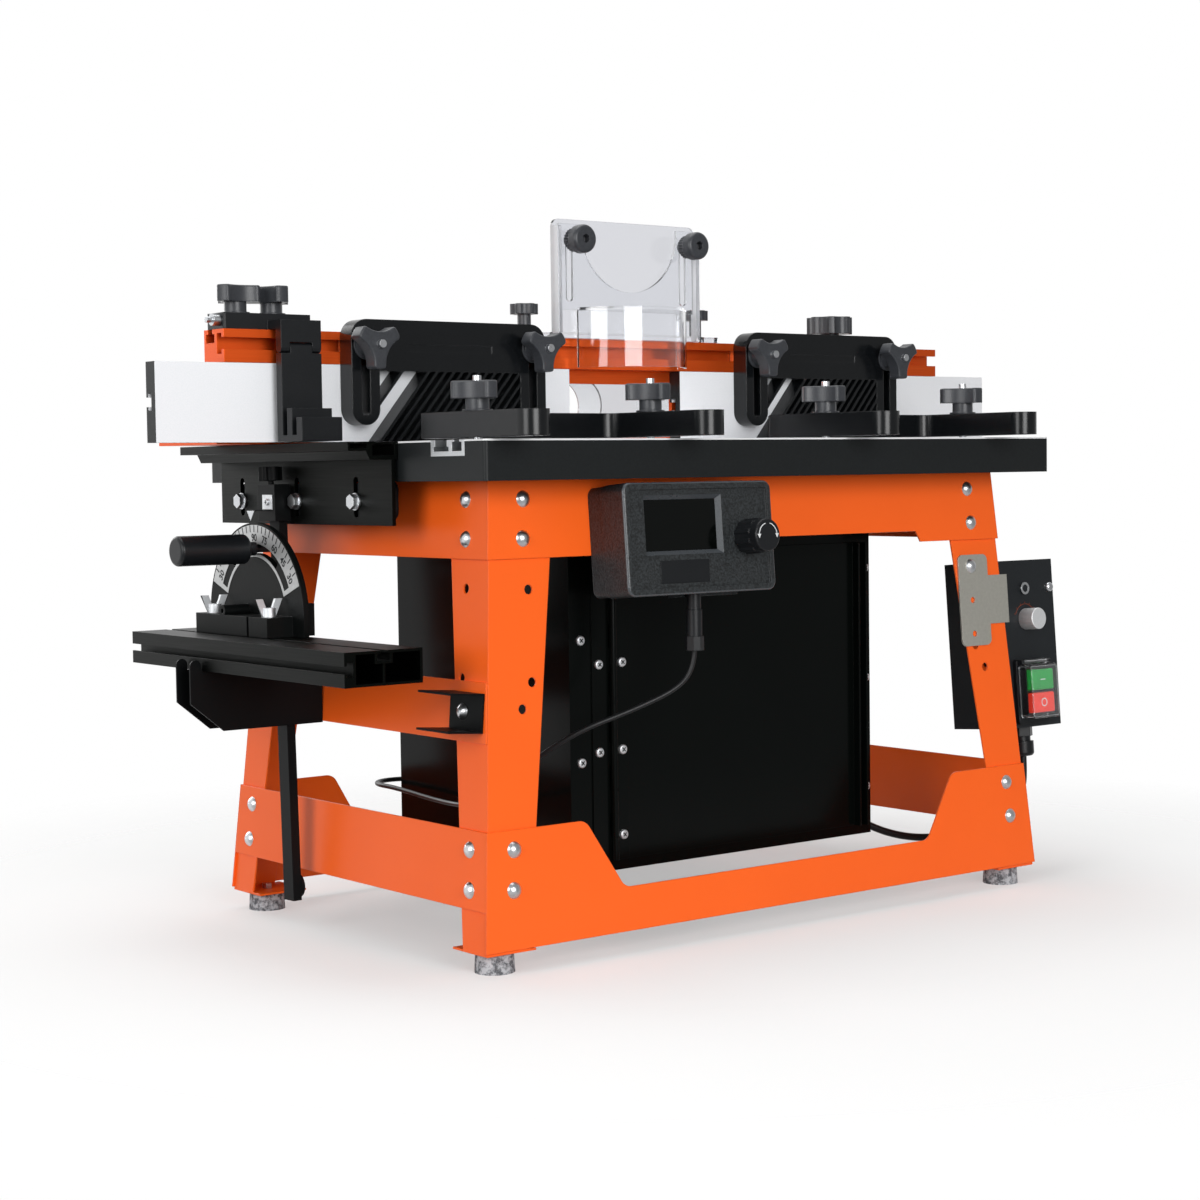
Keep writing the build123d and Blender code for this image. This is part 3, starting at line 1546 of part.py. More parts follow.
def guard_knob(x):
    """A round knob with a fluted waist that clamps the shield, with its stud through the plate."""
    place = Plane((x, panel_front - slide_gap, guard_knob_z), z_dir=(0, -1, 0))
    collar = post(guard_knob_collar, guard_knob_collar_length)
    rest = guard_knob_length - guard_knob_collar_length
    head = Pos(0, 0, guard_knob_collar_length) * extrude(
        lobed(guard_knob_waist, guard_knob_flute, guard_knob_flutes), rest - guard_knob_cap + past)
    cap = Pos(0, 0, guard_knob_length - guard_knob_cap) * post(guard_knob_radius, guard_knob_cap)
    head += fillet(cap.edges().group_by(Axis.Z)[-1], guard_knob_edge)
    hexagon = extrude(RegularPolygon(guard_knob_socket, 6), guard_knob_socket_deep + past)
    socket = Pos(0, 0, guard_knob_length - guard_knob_socket_deep) * hexagon
    reach = shield_panel + 2 * slide_gap + guard_thick
    stud = Pos(0, 0, -reach) * post(guard_knob_stud, reach + past)
    return place * (collar + head - socket + stud)


# Knobs with studs

def knob_outline():
    """Three blunt lobes with hollow sides."""
    places = PolarLocations(lobe_bite_centre, lobe_count, start_angle=lobe_turn)
    outline = Circle(lobe_radius) - [place * Circle(lobe_bite) for place in places]
    return fillet(outline.vertices(), lobe_round)


def lobed_knob(reach, stud_end):
    """A hand knob that stands on z = 0, with its washer, hub and a stud that goes down and up."""
    washer = post(knob_washer, knob_washer_thick)
    hub = post(knob_hub, knob_washer_thick + knob_hub_height)
    grip_low = knob_washer_thick + knob_hub_height
    grip = extrude(knob_outline(), knob_thick)
    grip = Pos(0, 0, grip_low) * fillet(grip.edges().group_by(Axis.Z)[-1], knob_edge)
    end = grip_low + knob_thick + stud_end
    stud = Pos(0, 0, -reach) * post(knob_stud, reach + end)
    return washer + hub + grip + stud


def fence_knob(x):
    """A knob that clamps a standing featherboard, with its stud in the fence's T-slot."""
    front = board_back - board_thick - slide_gap
    reach = fence_y + fence_tee_floor - seat_gap - past - front
    place = Plane((x, front, fence_tee_z), x_dir=(1, 0, 0), z_dir=(0, -1, 0))
    return place * Rot(0, 0, 180) * lobed_knob(reach, knob_stud_end)


def fence_tee_nut(x):
    """The nut in the fence's T-slot that a stud screws into."""
    y0 = fence_y + fence_tee_lip + tee_nut_room
    y1 = fence_y + fence_tee_floor - tee_nut_room
    half = fence_tee_width / 2 - tee_nut_room
    nut = block(x - tee_nut_length / 2, x + tee_nut_length / 2, y0, y1, fence_tee_z - half,
                fence_tee_z + half)
    return nut - rod_y(x, y0 - past, y1 + past, fence_tee_z, knob_stud + shaft_gap)


def top_tee_nut(x):
    """The nut in the fence's upper T-slot that a stud screws into."""
    z1 = fence_top - fence_top_tee_lip - tee_nut_room
    z0 = fence_top - fence_top_tee_floor + tee_nut_room
    half = fence_top_tee_width / 2 - tee_nut_room
    nut = block(x - tee_nut_length / 2, x + tee_nut_length / 2, top_tee_y - half, top_tee_y + half,
                z0, z1)
    return nut - rod_z(x, top_tee_y, z0 - past, z1 + past, knob_stud + shaft_gap)


def clamp_knob(x):
    """A small fluted knob that clamps the guard's foot to the fence."""
    z0 = fence_top + slide_gap + guard_foot + seat_gap
    stud = rod_z(x, top_tee_y, fence_top - fence_top_tee_floor + past, z0 + past, knob_stud)
    z1 = z0 + clamp_hub_height
    hub = rod_z(x, top_tee_y, z0, z1 + past, knob_hub * 2 / 3)
    head = along_z(Pos(x, top_tee_y) * lobed(clamp_radius, clamp_flute, clamp_flutes), z1,
                   z1 + clamp_thick)
    return stud + hub + head


def fluted_knob(x, y, z, low):
    """A big fluted lock knob over a place, with its stud down to a depth."""
    grip = extrude(lobed(lock_knob_radius, lock_knob_flute, lock_knob_flutes), lock_knob_thick)
    hub = post(knob_hub, knob_hub_height)
    stud = rod_z(x, y, low, z + past, lock_stud)
    return Pos(x, y, z) * (hub + Pos(0, 0, knob_hub_height) * grip) + stud


hold_x = board_right + board_width - hold_in


def hold_block():
    """The block under the fence's right lock knob, on its upper T-slot."""
    z0 = fence_top + seat_gap
    piece = block(hold_x - tee_nut_length, hold_x + tee_nut_length, fence_y + fence_tee_lip, fence_back,
                  z0, z0 + guard_foot)
    return piece - rod_z(hold_x, top_tee_y, z0 - past, z0 + guard_foot + past, lock_stud + shaft_gap)


def fence_fittings():
    """The guard's clamp knobs, the right lock knob, the faces' bolts and the nuts in the fence's slots."""
    clamps = [clamp_knob(x) for x in clamp_places]
    lock = fluted_knob(hold_x, top_tee_y, fence_top + 2 * seat_gap + guard_foot,
                       fence_top - fence_top_tee_floor + past)
    nuts = [fence_tee_nut(x) for x in fence_knob_places] + [top_tee_nut(x) for x in clamp_places]
    bolts = [face_bolt(x) for x in face_bolt_places]
    return group(*clamps, lock, hold_block(), top_tee_nut(hold_x), *nuts, *bolts)


def fence_lock_knobs():
    """The two knobs behind the fence that lock it to the table, with studs in the table."""
    z = fence_lip + base_thick + slide_gap
    return group(*[fluted_knob(x, lock_y, z, -table_thickness) for x in lock_places])


# Flip stop

stop_back = fence_back - seat_gap
arm_back = stop_arm_front + stop_arm_thick
arm_middle = stop_arm_front + stop_arm_thick / 2
hinge_round = stop_arm_thick / 2
stop_base = fence_top + slide_gap
stop_stud = knob_stud * stop_knob_size


def stop_block():
    """The sliding block of the flip stop, with its bracket, hinge ears and pin in front."""
    body = block(stop_left, stop_right, stop_back - stop_deep, stop_back, stop_base, stop_high)
    body = fillet(body.edges().filter_by(Axis.Z), stop_round)
    bridge = block(stop_arm_left, stop_arm_right, stop_arm_front, stop_back - stop_deep + stop_round,
                   stop_base, stop_bracket_high)
    front = block(stop_arm_left, stop_arm_right, stop_arm_front, arm_back, stop_hinge_z,
                  stop_bracket_high)
    room = block(stop_arm_left + stop_ear, stop_arm_right - stop_ear, stop_arm_front - past,
                 arm_back + past, 0, stop_hinge_z + hinge_round + slide_gap)
    ears = [rod_x(x, x + stop_ear, arm_middle, stop_hinge_z, hinge_round)
            for x in (stop_arm_left, stop_arm_right - stop_ear)]
    pin = rod_x(stop_arm_left, stop_arm_right, arm_middle, stop_hinge_z, stop_pin)
    studs = [rod_z(x, top_tee_y, stop_base - past, stop_high + past, stop_stud + shaft_gap)
             for x in stop_knobs_x]
    thread = rod_x(stop_left - past, stop_left + stop_screw_grip, stop_screw_y, stop_screw_z,
                   stop_screw_radius + shaft_gap)
    return body + bridge + (front - room) + ears + pin - studs - thread


def stop_arm():
    """The arm that flips up on its pin, with the grooved foot that the work stops against."""
    y1 = arm_back
    y0 = y1 - stop_foot_deep
    low = stop_arm_low
    floor = low + stop_foot_web
    plate = rectangle(stop_arm_front, arm_back, low, stop_hinge_z - hinge_round - slide_gap)
    web = rectangle(y0, y1, low, floor)
    fin_y = stop_arm_front - stop_groove - stop_fin
    fin = rectangle(fin_y, fin_y + stop_fin, low, stop_fin_high)
    front = rectangle(y0, fin_y - stop_groove, low, stop_block_high)
    lower = along_x(plate + web + fin + front, stop_arm_left, stop_arm_right)
    x0 = stop_arm_left + stop_ear + slide_gap
    x1 = stop_arm_right - stop_ear - slide_gap
    tongue = block(x0, x1, stop_arm_front, arm_back, stop_hinge_z - 2 * hinge_round, stop_hinge_z)
    barrel_round = rod_x(x0, x1, arm_middle, stop_hinge_z, hinge_round)
    bore = rod_x(x0 - past, x1 + past, arm_middle, stop_hinge_z, stop_pin + shaft_gap)
    return lower + tongue + barrel_round - bore


def stop_knobs():
    """The lobed knobs that clamp the flip stop to the fence's upper T-slot, and its end screw and nut."""
    reach = (stop_high - fence_top + fence_top_tee_lip) / stop_knob_size
    knob = scale(lobed_knob(reach, -knob_edge), stop_knob_size)
    left, right = [Pos(x, top_tee_y, stop_high + seat_gap) for x in stop_knobs_x]
    end = stop_left - seat_gap
    screw = rod_x(end - stop_screw_out, end + stop_screw_grip, stop_screw_y, stop_screw_z,
                  stop_screw_radius)
    nut = rod_x(end - stop_nut_length, end, stop_screw_y, stop_screw_z, stop_nut_radius)
    return group(left * knob, right * Rot(0, 0, 180) * knob, screw + nut)


# Featherboards

board_back = fence_y - slide_gap
fence_knob_places = [left + at for left in (board_left, board_right)
                     for at in (ear_width / 2, board_width - ear_width / 2)]


def fins(low, high, x0, x1, last):
    """Slanted fins between two heights, as far as a last place, clipped at the sides of their space."""
    steepness = tan(radians(fin_angle))
    shift = (high - low) / steepness
    count = int((last - fin_second) / fin_pitch) + 1
    starts = [fin_first] + [fin_second + fin_pitch * number for number in range(count)]
    lean = fin_root / steepness
    strips = [Polygon((x + lean, high + fin_root), (x - shift, low), (x - shift + fin_thick, low),
                      (x + lean + fin_thick, high + fin_root)) for x in starts]
    return Sketch() + strips & rectangle(x0, x1, low, high + fin_root)


def fence_featherboard(left):
    """A featherboard that stands on the fence: a bar with two slotted ears and slanted fins."""
    bar = rectangle(0, board_width, board_bar_low, board_high)
    top = bar.vertices().group_by(Axis.Y)[-1]
    outline = fillet(top, board_round)
    for x in (ear_width / 2, board_width - ear_width / 2):
        round_low = ear_low + ear_width / 2
        outline += rectangle(x - ear_width / 2, x + ear_width / 2, round_low, board_bar_low + past)
        outline += Pos(x, round_low) * Circle(ear_width / 2)
    inner = board_width - ear_width
    straight = board_bar_low - ear_low - ear_width / 2
    last = inner + straight / tan(radians(fin_angle)) - 2 * fin_thick
    outline += fins(fin_tip, board_bar_low, ear_width - past, inner + past, last)
    for x in (ear_width / 2, board_width - ear_width / 2):
        outline -= upright_slot(x, ear_slot_low, ear_slot_high, ear_slot_width)
    front = board_back - board_thick
    board = along_y(outline, front, board_back)
    label = block(label_left, label_right, front - past, front + label_deep, label_low, label_high)
    return Pos(left, 0, 0) * (board - label)


def flat_featherboard(left):
    """A featherboard that lies on the table: two slotted arms, a body and slanted fins."""
    z0 = flat_under
    arms = (left, left + arm_spread)
    x0 = left - arm_width / 2
    x1 = left + arm_spread + arm_width / 2
    outline = rectangle(x0, x1, flat_body_front, flat_body_back)
    for x in arms:
        outline += rectangle(x - arm_width / 2, x + arm_width / 2, arm_tip, flat_body_front + past)
        outline += Pos(x, arm_tip) * Circle(arm_width / 2)
    inner = [corner for corner in outline.vertices()
             if abs(corner.Y - flat_body_front) < past and x0 + past < corner.X < x1 - past]
    outline = fillet(inner, flat_round)
    comb = fins(-flat_fin_back, -flat_body_back, 0, x1 - x0, x1 - x0 - 2 * fin_thick)
    outline += Pos(x0, 0) * mirror(comb, about=Plane.XZ)
    for x in arms:
        outline -= upright_slot(x, flat_slot_front, flat_slot_back, flat_slot_width)
    board = along_z(outline, z0, z0 + flat_thick)
    return group(board, *[track_nut(x) for x in arms])


def track_nut(x):
    """The nut in the table's T-slot that a flat featherboard's stud screws into."""
    half = tee_width / 2 - tee_nut_room
    z0 = -tee_floor + tee_nut_room
    z1 = -tee_lip - tee_nut_room
    nut = block(x - tee_nut_length / 2, x + tee_nut_length / 2, tee_y - half, tee_y + half, z0, z1)
    return nut - rod_z(x, tee_y, z0 - past, z1 + past, knob_stud + shaft_gap)


def table_knob(x):
    """A knob that clamps a flat featherboard, with its stud in the table's T-slot."""
    z = flat_under + flat_thick + slide_gap
    return Pos(x, tee_y, z) * Rot(0, 0, 180) * lobed_knob(z + tee_floor - past, knob_stud_end)


table_knob_places = [left + at for left in (flat_left, flat_right) for at in (0, arm_spread)]


# Router and its lift

carriage_x = (mid_x - carriage_half, mid_x + carriage_half)
column_places = (mid_x - column_spread / 2, mid_x + column_spread / 2)
screw_y = cutter_y + screw_back


def router_motor():
    """The motor's body and the carriage that clamps it and slides on the columns."""
    body = rod_z(mid_x, cutter_y, -motor_low, -motor_high, motor_radius)
    body = fillet(body.edges(), motor_round)
    seat = rod_z(mid_x, cutter_y, -motor_high - spindle_seat, past - motor_high,
                 spindle_radius + shaft_gap)
    plate = block(*carriage_x, carriage_front, carriage_back, -carriage_low, -carriage_high)
    plate -= rod_z(mid_x, cutter_y, -carriage_low - past, past - carriage_high, motor_radius + seat_gap)
    for x in column_places:
        plate -= rod_z(x, cutter_y, -carriage_low - past, past - carriage_high,
                       column_radius + shaft_gap)
    plate -= rod_z(mid_x, screw_y, -carriage_low - past, past - carriage_high, screw_rod + shaft_gap)
    return group(body - seat, plate)


def router_spindle():
    """The spindle with its collet nut and the collet's bore."""
    shaft = rod_z(mid_x, cutter_y, -motor_high - spindle_seat + past, -collet_low, spindle_radius)
    nut = along_z(Pos(mid_x, cutter_y) * RegularPolygon(collet_radius, 6), -collet_low, -collet_high)
    bore = rod_z(mid_x, cutter_y, -collet_high - collet_bore_depth, past - collet_high, collet_bore)
    return shaft + nut - bore


def lift_frame():
    """The two columns under the table, the plate that joins them and the screw's gearbox."""
    z1 = -lift_plate_high
    z0 = z1 - lift_plate_thick
    plate = block(*carriage_x, carriage_front, carriage_back, z0, z1)
    columns = [rod_z(x, cutter_y, z1 - past, under - seat_gap, column_radius) for x in column_places]
    gearbox = block(mid_x - gearbox_half, mid_x + gearbox_half, screw_y - gearbox_half_deep,
                    screw_y + gearbox_half_deep, -shell_low + shell_wall + seat_gap, z0 + past)
    hole = rod_z(mid_x, screw_y, z0, z1 + past, screw_rod + shaft_gap)
    return plate + columns + gearbox - hole


def lift_screw():
    """The screw that raises the carriage."""
    return rod_z(mid_x, screw_y, -lift_plate_high - lift_plate_thick + past, -lift_screw_high,
                 screw_rod)


lower_front = lower_front_rail()
upper_front = top_front_rail()
upper_side = top_side_rail()
lower_side = bolted(side_web(lower_rail_high, side_rail_low))

nodes = {
    "legs": group(*[one - rail_bolt_holes() for one in four_corners(leg())]),
    "top_rails": group(upper_front, mirror(upper_front, about=lengthwise), upper_side - rail_bolt_holes(),
                       mirror(upper_side, about=across)),
    "lower_rails": group(lower_front, mirror(lower_front, about=lengthwise), *both_sides(lower_side),
                         storage_rail()),
    "rubber_feet": group(*four_corners(rubber_foot())),
    "frame_bolts": frame_bolts(),
    "table_top": table_top(),
    "table_track": table_track(),
    "insert_ring": insert_ring(),
    "side_rail": side_rail(),
    "storage_brackets": group(storage_bracket(), storage_clip()),
    "tee_bracket": group(tee_bracket(), tee_screw()),
    "enclosure_shell": enclosure_shell(),
    "enclosure_door": enclosure_door(),
    "enclosure_hardware": enclosure_hardware(),
    "display_housing": display_housing(),
    "display_bezel": display_bezel(),
    "display_screen": display_screen(),
    "encoder_knob": encoder_knob(),
    "display_cable": cord(display_route(), display_cable_radius),
    "cable_fittings": cable_fittings(),
    "switch_box": switch_box(),
    "switch_base": switch_base(),
    "switch_cover": switch_cover(),
    "start_button": push_button(start_up, start_tall),
    "stop_button": push_button(stop_up, stop_tall),
    "speed_knob": speed_knob(),
    "motor_lead": cord(lead_route(), motor_lead_radius),
    "fence_extrusion": fence_extrusion(),
    "fence_face_left": fence_face(face_left_end, gap_left),
    "fence_face_right": fence_face(gap_right, face_right_end),
    "dust_hood": dust_hood(),
    "guard_base": guard_base(),
    "guard_shield": guard_shield(),
    "guard_knob_left": guard_knob(guard_knob_places[0]),
    "guard_knob_right": guard_knob(guard_knob_places[1]),
    "fence_fittings": fence_fittings(),
    "fence_lock_knobs": fence_lock_knobs(),
    "stop_block": stop_block(),
    "stop_arm": stop_arm(),
    "stop_knobs": stop_knobs(),
    "fence_featherboard_left": fence_featherboard(board_left),
    "fence_featherboard_right": fence_featherboard(board_right),
    "table_featherboard_left": flat_featherboard(flat_left),
    "table_featherboard_right": flat_featherboard(flat_right),
    "gauge_fence": gauge_fence(),
    "gauge_head": gauge_head(),
    "gauge_bar": gauge_bar(),
    "gauge_handle": gauge_handle(),
    "router_motor": router_motor(),
    "router_spindle": router_spindle(),
    "lift_frame": lift_frame(),
    "lift_screw": lift_screw(),
}
for number, x in enumerate(fence_knob_places, 1):
    nodes[f"fence_knob_{number}"] = fence_knob(x)
for number, x in enumerate(table_knob_places, 1):
    nodes[f"table_knob_{number}"] = table_knob(x)

front_end = arm_tip - arm_width / 2
to_origin = Pos(-mid_x, -(front_end + table_depth) / 2, table_height)
os.makedirs("parts", exist_ok=True)
for name, shape in nodes.items():
    export_step(to_origin * shape, f"parts/{name}.step")
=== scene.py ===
import math

import bmesh
import bpy
from mathutils import Matrix, Vector


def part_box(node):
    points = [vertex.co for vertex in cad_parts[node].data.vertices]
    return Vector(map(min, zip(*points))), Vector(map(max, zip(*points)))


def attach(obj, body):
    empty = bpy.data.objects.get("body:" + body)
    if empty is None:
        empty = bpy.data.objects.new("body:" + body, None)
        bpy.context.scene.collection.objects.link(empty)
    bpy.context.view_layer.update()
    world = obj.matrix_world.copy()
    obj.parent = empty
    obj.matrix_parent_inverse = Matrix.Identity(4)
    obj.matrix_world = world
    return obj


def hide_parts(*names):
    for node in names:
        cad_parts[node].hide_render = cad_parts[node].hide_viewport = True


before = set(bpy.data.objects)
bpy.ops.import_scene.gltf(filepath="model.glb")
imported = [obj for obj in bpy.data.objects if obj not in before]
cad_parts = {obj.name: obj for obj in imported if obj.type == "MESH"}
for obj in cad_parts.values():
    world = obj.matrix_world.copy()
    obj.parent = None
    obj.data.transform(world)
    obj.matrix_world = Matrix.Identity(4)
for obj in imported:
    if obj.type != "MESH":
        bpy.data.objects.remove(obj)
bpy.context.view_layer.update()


# Camera and studio
# The object is seen from its front left corner, level with the table, before a white paper sweep.
# One wide soft lamp stands in front, one at the left, a weaker one behind, and one hangs above.
camera_place = Vector((-1.5861, -1.9343, 0.4676))
camera_right_turn = math.radians(38.035)
camera_down_tilt = math.radians(3.231)
camera_roll = math.radians(0.773)
camera_lens = 69.41
aim = Vector((0, 0, 0.35))
paper_white = "FFFFFF"
room_fill = 0.22
room_front = 0.32
room_turn = 0.3


def linear(colour):
    """An sRGB hex colour as the linear colour that Blender reckons with."""
    parts = [int(colour[start:start + 2], 16) / 255 for start in (0, 2, 4)]
    return [part / 12.92 if part <= 0.04045 else ((part + 0.055) / 1.055) ** 2.4 for part in parts] + [1.0]


def node(tree, kind, inputs=None, **settings):
    """Adds a node with its settings, and sets or links its inputs. A node stands for its first output."""
    made = tree.nodes.new(kind)
    for key, value in settings.items():
        setattr(made, key, value)
    for key, value in (inputs or {}).items():
        socket = next(one for one in made.inputs if key in (one.identifier, one.name))
        if isinstance(value, bpy.types.Node):
            value = next(one for one in value.outputs if one.enabled)
        if isinstance(value, bpy.types.NodeSocket):
            tree.links.new(value, socket)
        else:
            socket.default_value = value
    return made


def new_material(name):
    """An empty material and its node tree."""
    material = bpy.data.materials.new(name)
    material.use_nodes = True
    material.node_tree.nodes.clear()
    return material, material.node_tree


def add_object(name, data):
    """A new object in the scene, at the origin."""
    made = bpy.data.objects.new(name, data)
    bpy.context.scene.collection.objects.link(made)
    return made


bpy.context.scene.view_settings.view_transform = "Standard"
camera = add_object("camera", bpy.data.cameras.new("camera"))
camera.data.lens = camera_lens
camera.location = camera_place
camera.rotation_mode = "QUATERNION"
camera.rotation_quaternion = (
    Matrix.Rotation(-camera_right_turn, 3, "Z")
    @ Matrix.Rotation(math.pi / 2 - camera_down_tilt, 3, "X")
    @ Matrix.Rotation(-camera_roll, 3, "Z")
).to_quaternion()
bpy.context.scene.camera = camera

for lamp_name, lamp_place, lamp_size, lamp_power in (
    ("front_lamp", (-0.9, -3.3, 1.1), 2.0, 81),
    ("left_lamp", (-3.3, -0.9, 1.2), 2.0, 52),
    ("back_lamp", (-0.6, 3.4, 1.5), 2.0, 36),
    ("top_lamp", (0.0, 0.3, 3.0), 2.4, 42),
):
    lamp = add_object(lamp_name, bpy.data.lights.new(lamp_name, "AREA"))
    lamp.data.shape = "DISK"
    lamp.data.size = lamp_size
    lamp.data.energy = lamp_power
    lamp.location = lamp_place
    lamp.rotation_mode = "QUATERNION"
    lamp.rotation_quaternion = (aim - Vector(lamp_place)).to_track_quat("-Z", "Y")

# The white sweep hangs behind the object and ends in a dim room in front of it, which is what gloss reflects
world = bpy.data.worlds.new("studio")
bpy.context.scene.world = world
world.use_nodes = True
tree = world.node_tree
tree.nodes.clear()
rays = node(tree, "ShaderNodeLightPath")
heading = node(tree, "ShaderNodeTexCoord").outputs["Generated"]
behind = node(tree, "ShaderNodeSeparateXYZ", {"Vector": heading}).outputs["Y"]
room = node(tree, "ShaderNodeMapRange", {"Value": behind, "From Min": -room_turn, "From Max": room_turn,
            "To Min": room_front, "To Max": 1.0})
mirrored = node(tree, "ShaderNodeMix", {"Factor_Float": rays.outputs["Is Glossy Ray"],
                "A_Float": room_fill, "B_Float": room}, data_type="FLOAT")
seen = node(tree, "ShaderNodeMath", {"Value": rays.outputs["Is Camera Ray"],
            "Value_001": rays.outputs["Is Transmission Ray"]}, operation="MAXIMUM")
strength = node(tree, "ShaderNodeMix", {"Factor_Float": seen, "A_Float": mirrored, "B_Float": 1.0},
                data_type="FLOAT")
ground = node(tree, "ShaderNodeBackground", {"Color": linear(paper_white), "Strength": strength})
node(tree, "ShaderNodeOutputWorld", {"Surface": ground})

# Matt studio paper: plain white, fading into the white behind it so that no edge shows
floor_radius = 1.6
floor_sides = 48
floor_fade = 0.5
floor_end = 1.15
floor_thin = 0.4
floor_mesh = bpy.data.meshes.new("floor")
floor_turns = [step * 2 * math.pi / floor_sides for step in range(floor_sides)]
floor_edge = [(floor_radius * math.cos(turn), floor_radius * math.sin(turn), 0) for turn in floor_turns]
floor_mesh.from_pydata(floor_edge, [], [list(range(floor_sides))])
floor = add_object("floor", floor_mesh)
paper, tree = new_material("studio_paper")
place = node(tree, "ShaderNodeTexCoord").outputs["Object"]
reach = node(tree, "ShaderNodeVectorMath", {"Vector": place}, operation="LENGTH").outputs["Value"]
fade = node(tree, "ShaderNodeMapRange", {"Value": reach, "From Min": floor_fade, "From Max": floor_end,
            "To Min": floor_thin})
matt = node(tree, "ShaderNodeBsdfDiffuse", {"Color": linear("F6F6F6")})
through = node(tree, "ShaderNodeBsdfTransparent")
both = node(tree, "ShaderNodeMixShader", {"Fac": fade, "Shader": matt, "Shader_001": through})
node(tree, "ShaderNodeOutputMaterial", {"Surface": both})
floor_mesh.materials.append(paper)


# Frame of legs and rails
# Folded and punched sheet steel, 2 mm thick, coated with baked orange powder.
# Legs and rails are bolted together at the corners.
def dress(material, *names):
    """Gives CAD pieces a finish all over."""
    for name in names:
        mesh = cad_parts[name].data
        mesh.materials.clear()
        mesh.materials.append(material)


def powder_coat(name, colour, shade, roughness, peel, gleam, bend=0.0008):
    """Baked powder on steel: even colour, a soft gloss and the faint orange-peel relief of the melt."""
    drift_size = 0.09
    melt_size = 0.0035
    sway = 0.05
    material, tree = new_material(name)
    place = node(tree, "ShaderNodeTexCoord").outputs["Object"]
    drift = node(tree, "ShaderNodeTexNoise", {"Vector": place, "Scale": 1 / drift_size, "Detail": 3.0})
    tone = node(tree, "ShaderNodeMix", {"Factor_Float": drift, "A_Color": linear(colour),
                "B_Color": linear(shade)}, data_type="RGBA")
    melt = node(tree, "ShaderNodeTexNoise", {"Vector": place, "Scale": 1 / melt_size, "Detail": 2.0})
    edge = node(tree, "ShaderNodeBevel", {"Radius": bend}, samples=4)
    relief = node(tree, "ShaderNodeBump", {"Height": melt, "Distance": peel, "Strength": 0.6,
                  "Normal": edge})
    gloss = node(tree, "ShaderNodeMapRange", {"Value": drift, "To Min": roughness - sway,
                 "To Max": roughness + sway})
    shader = node(tree, "ShaderNodeBsdfPrincipled", {"Base Color": tone, "Roughness": gloss,
                  "Specular IOR Level": gleam, "Normal": relief})
    node(tree, "ShaderNodeOutputMaterial", {"Surface": shader})
    return material


# Orange powder coat: a strong, even orange with a soft gloss
orange_powder = powder_coat("orange_powder_coat", "FC661C", "F66119",
                            roughness=0.34, peel=0.00002, gleam=0.3, bend=0.0014)
dress(orange_powder, "legs", "top_rails", "lower_rails")


# Frame bolts
# Carriage bolts with domed heads, hexagon nuts, and flanged bolts with pads behind the side rail.
# Cold-formed steel, bright zinc plated.
def plated_steel(name, colour, shade, roughness):
    """Zinc or nickel on steel: a bright metal with a slightly clouded shine."""
    cloud_size = 0.004
    sway = 0.08
    edge_radius = 0.0005
    material, tree = new_material(name)
    place = node(tree, "ShaderNodeTexCoord").outputs["Object"]
    cloud = node(tree, "ShaderNodeTexNoise", {"Vector": place, "Scale": 1 / cloud_size, "Detail": 4.0})
    tone = node(tree, "ShaderNodeMix", {"Factor_Float": cloud, "A_Color": linear(colour),
                "B_Color": linear(shade)}, data_type="RGBA")
    shine = node(tree, "ShaderNodeMapRange", {"Value": cloud, "To Min": roughness - sway,
                 "To Max": roughness + sway})
    edge = node(tree, "ShaderNodeBevel", {"Radius": edge_radius}, samples=4)
    shader = node(tree, "ShaderNodeBsdfPrincipled", {"Base Color": tone, "Metallic": 1.0,
                  "Roughness": shine, "Normal": edge})
    node(tree, "ShaderNodeOutputMaterial", {"Surface": shader})
    return material


# Bright zinc: a silvery metal with a slightly clouded shine
zinc_plate = plated_steel("bright_zinc_plate", "DCDEE0", "BFC2C6", roughness=0.3)
dress(zinc_plate, "frame_bolts")


# Rubber feet
# Four moulded rubber buffers, each screwed to a leg's foot plate.
# Pale grey and matt, mottled where talc from the mould has stayed in the skin.
talc_size = 0.006
rubber, tree = new_material("moulded_rubber")
place = node(tree, "ShaderNodeTexCoord").outputs["Object"]
talc = node(tree, "ShaderNodeTexNoise", {"Vector": place, "Scale": 1 / talc_size, "Detail": 6.0,
            "Roughness": 0.7})
spread = node(tree, "ShaderNodeMapRange", {"Value": talc, "From Min": 0.42, "From Max": 0.58})
tone = node(tree, "ShaderNodeMix", {"Factor_Float": spread, "A_Color": linear("55575B"),
            "B_Color": linear("B2B4B8")}, data_type="RGBA")
relief = node(tree, "ShaderNodeBump", {"Height": talc, "Distance": 0.0002})
shader = node(tree, "ShaderNodeBsdfPrincipled", {"Base Color": tone, "Roughness": 0.85,
              "Specular IOR Level": 0.3, "Normal": relief})
node(tree, "ShaderNodeOutputMaterial", {"Surface": shader})
dress(rubber, "rubber_feet")


# Table top
# Dense fibreboard, 38 mm thick, faced with white laminate and edged with black plastic strip.
# The laminate's own edge shows as a thin pale line above the strip.
table_low, table_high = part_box("table_top")
laminate_thick = 0.0016


def dress_faces(material, name, chosen):
    """Gives another finish to the faces of a CAD piece that are chosen by their middle and normal."""
    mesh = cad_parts[name].data
    mesh.materials.append(material)
    for face in mesh.polygons:
        if chosen(face.center, face.normal):
            face.material_index = len(mesh.materials) - 1


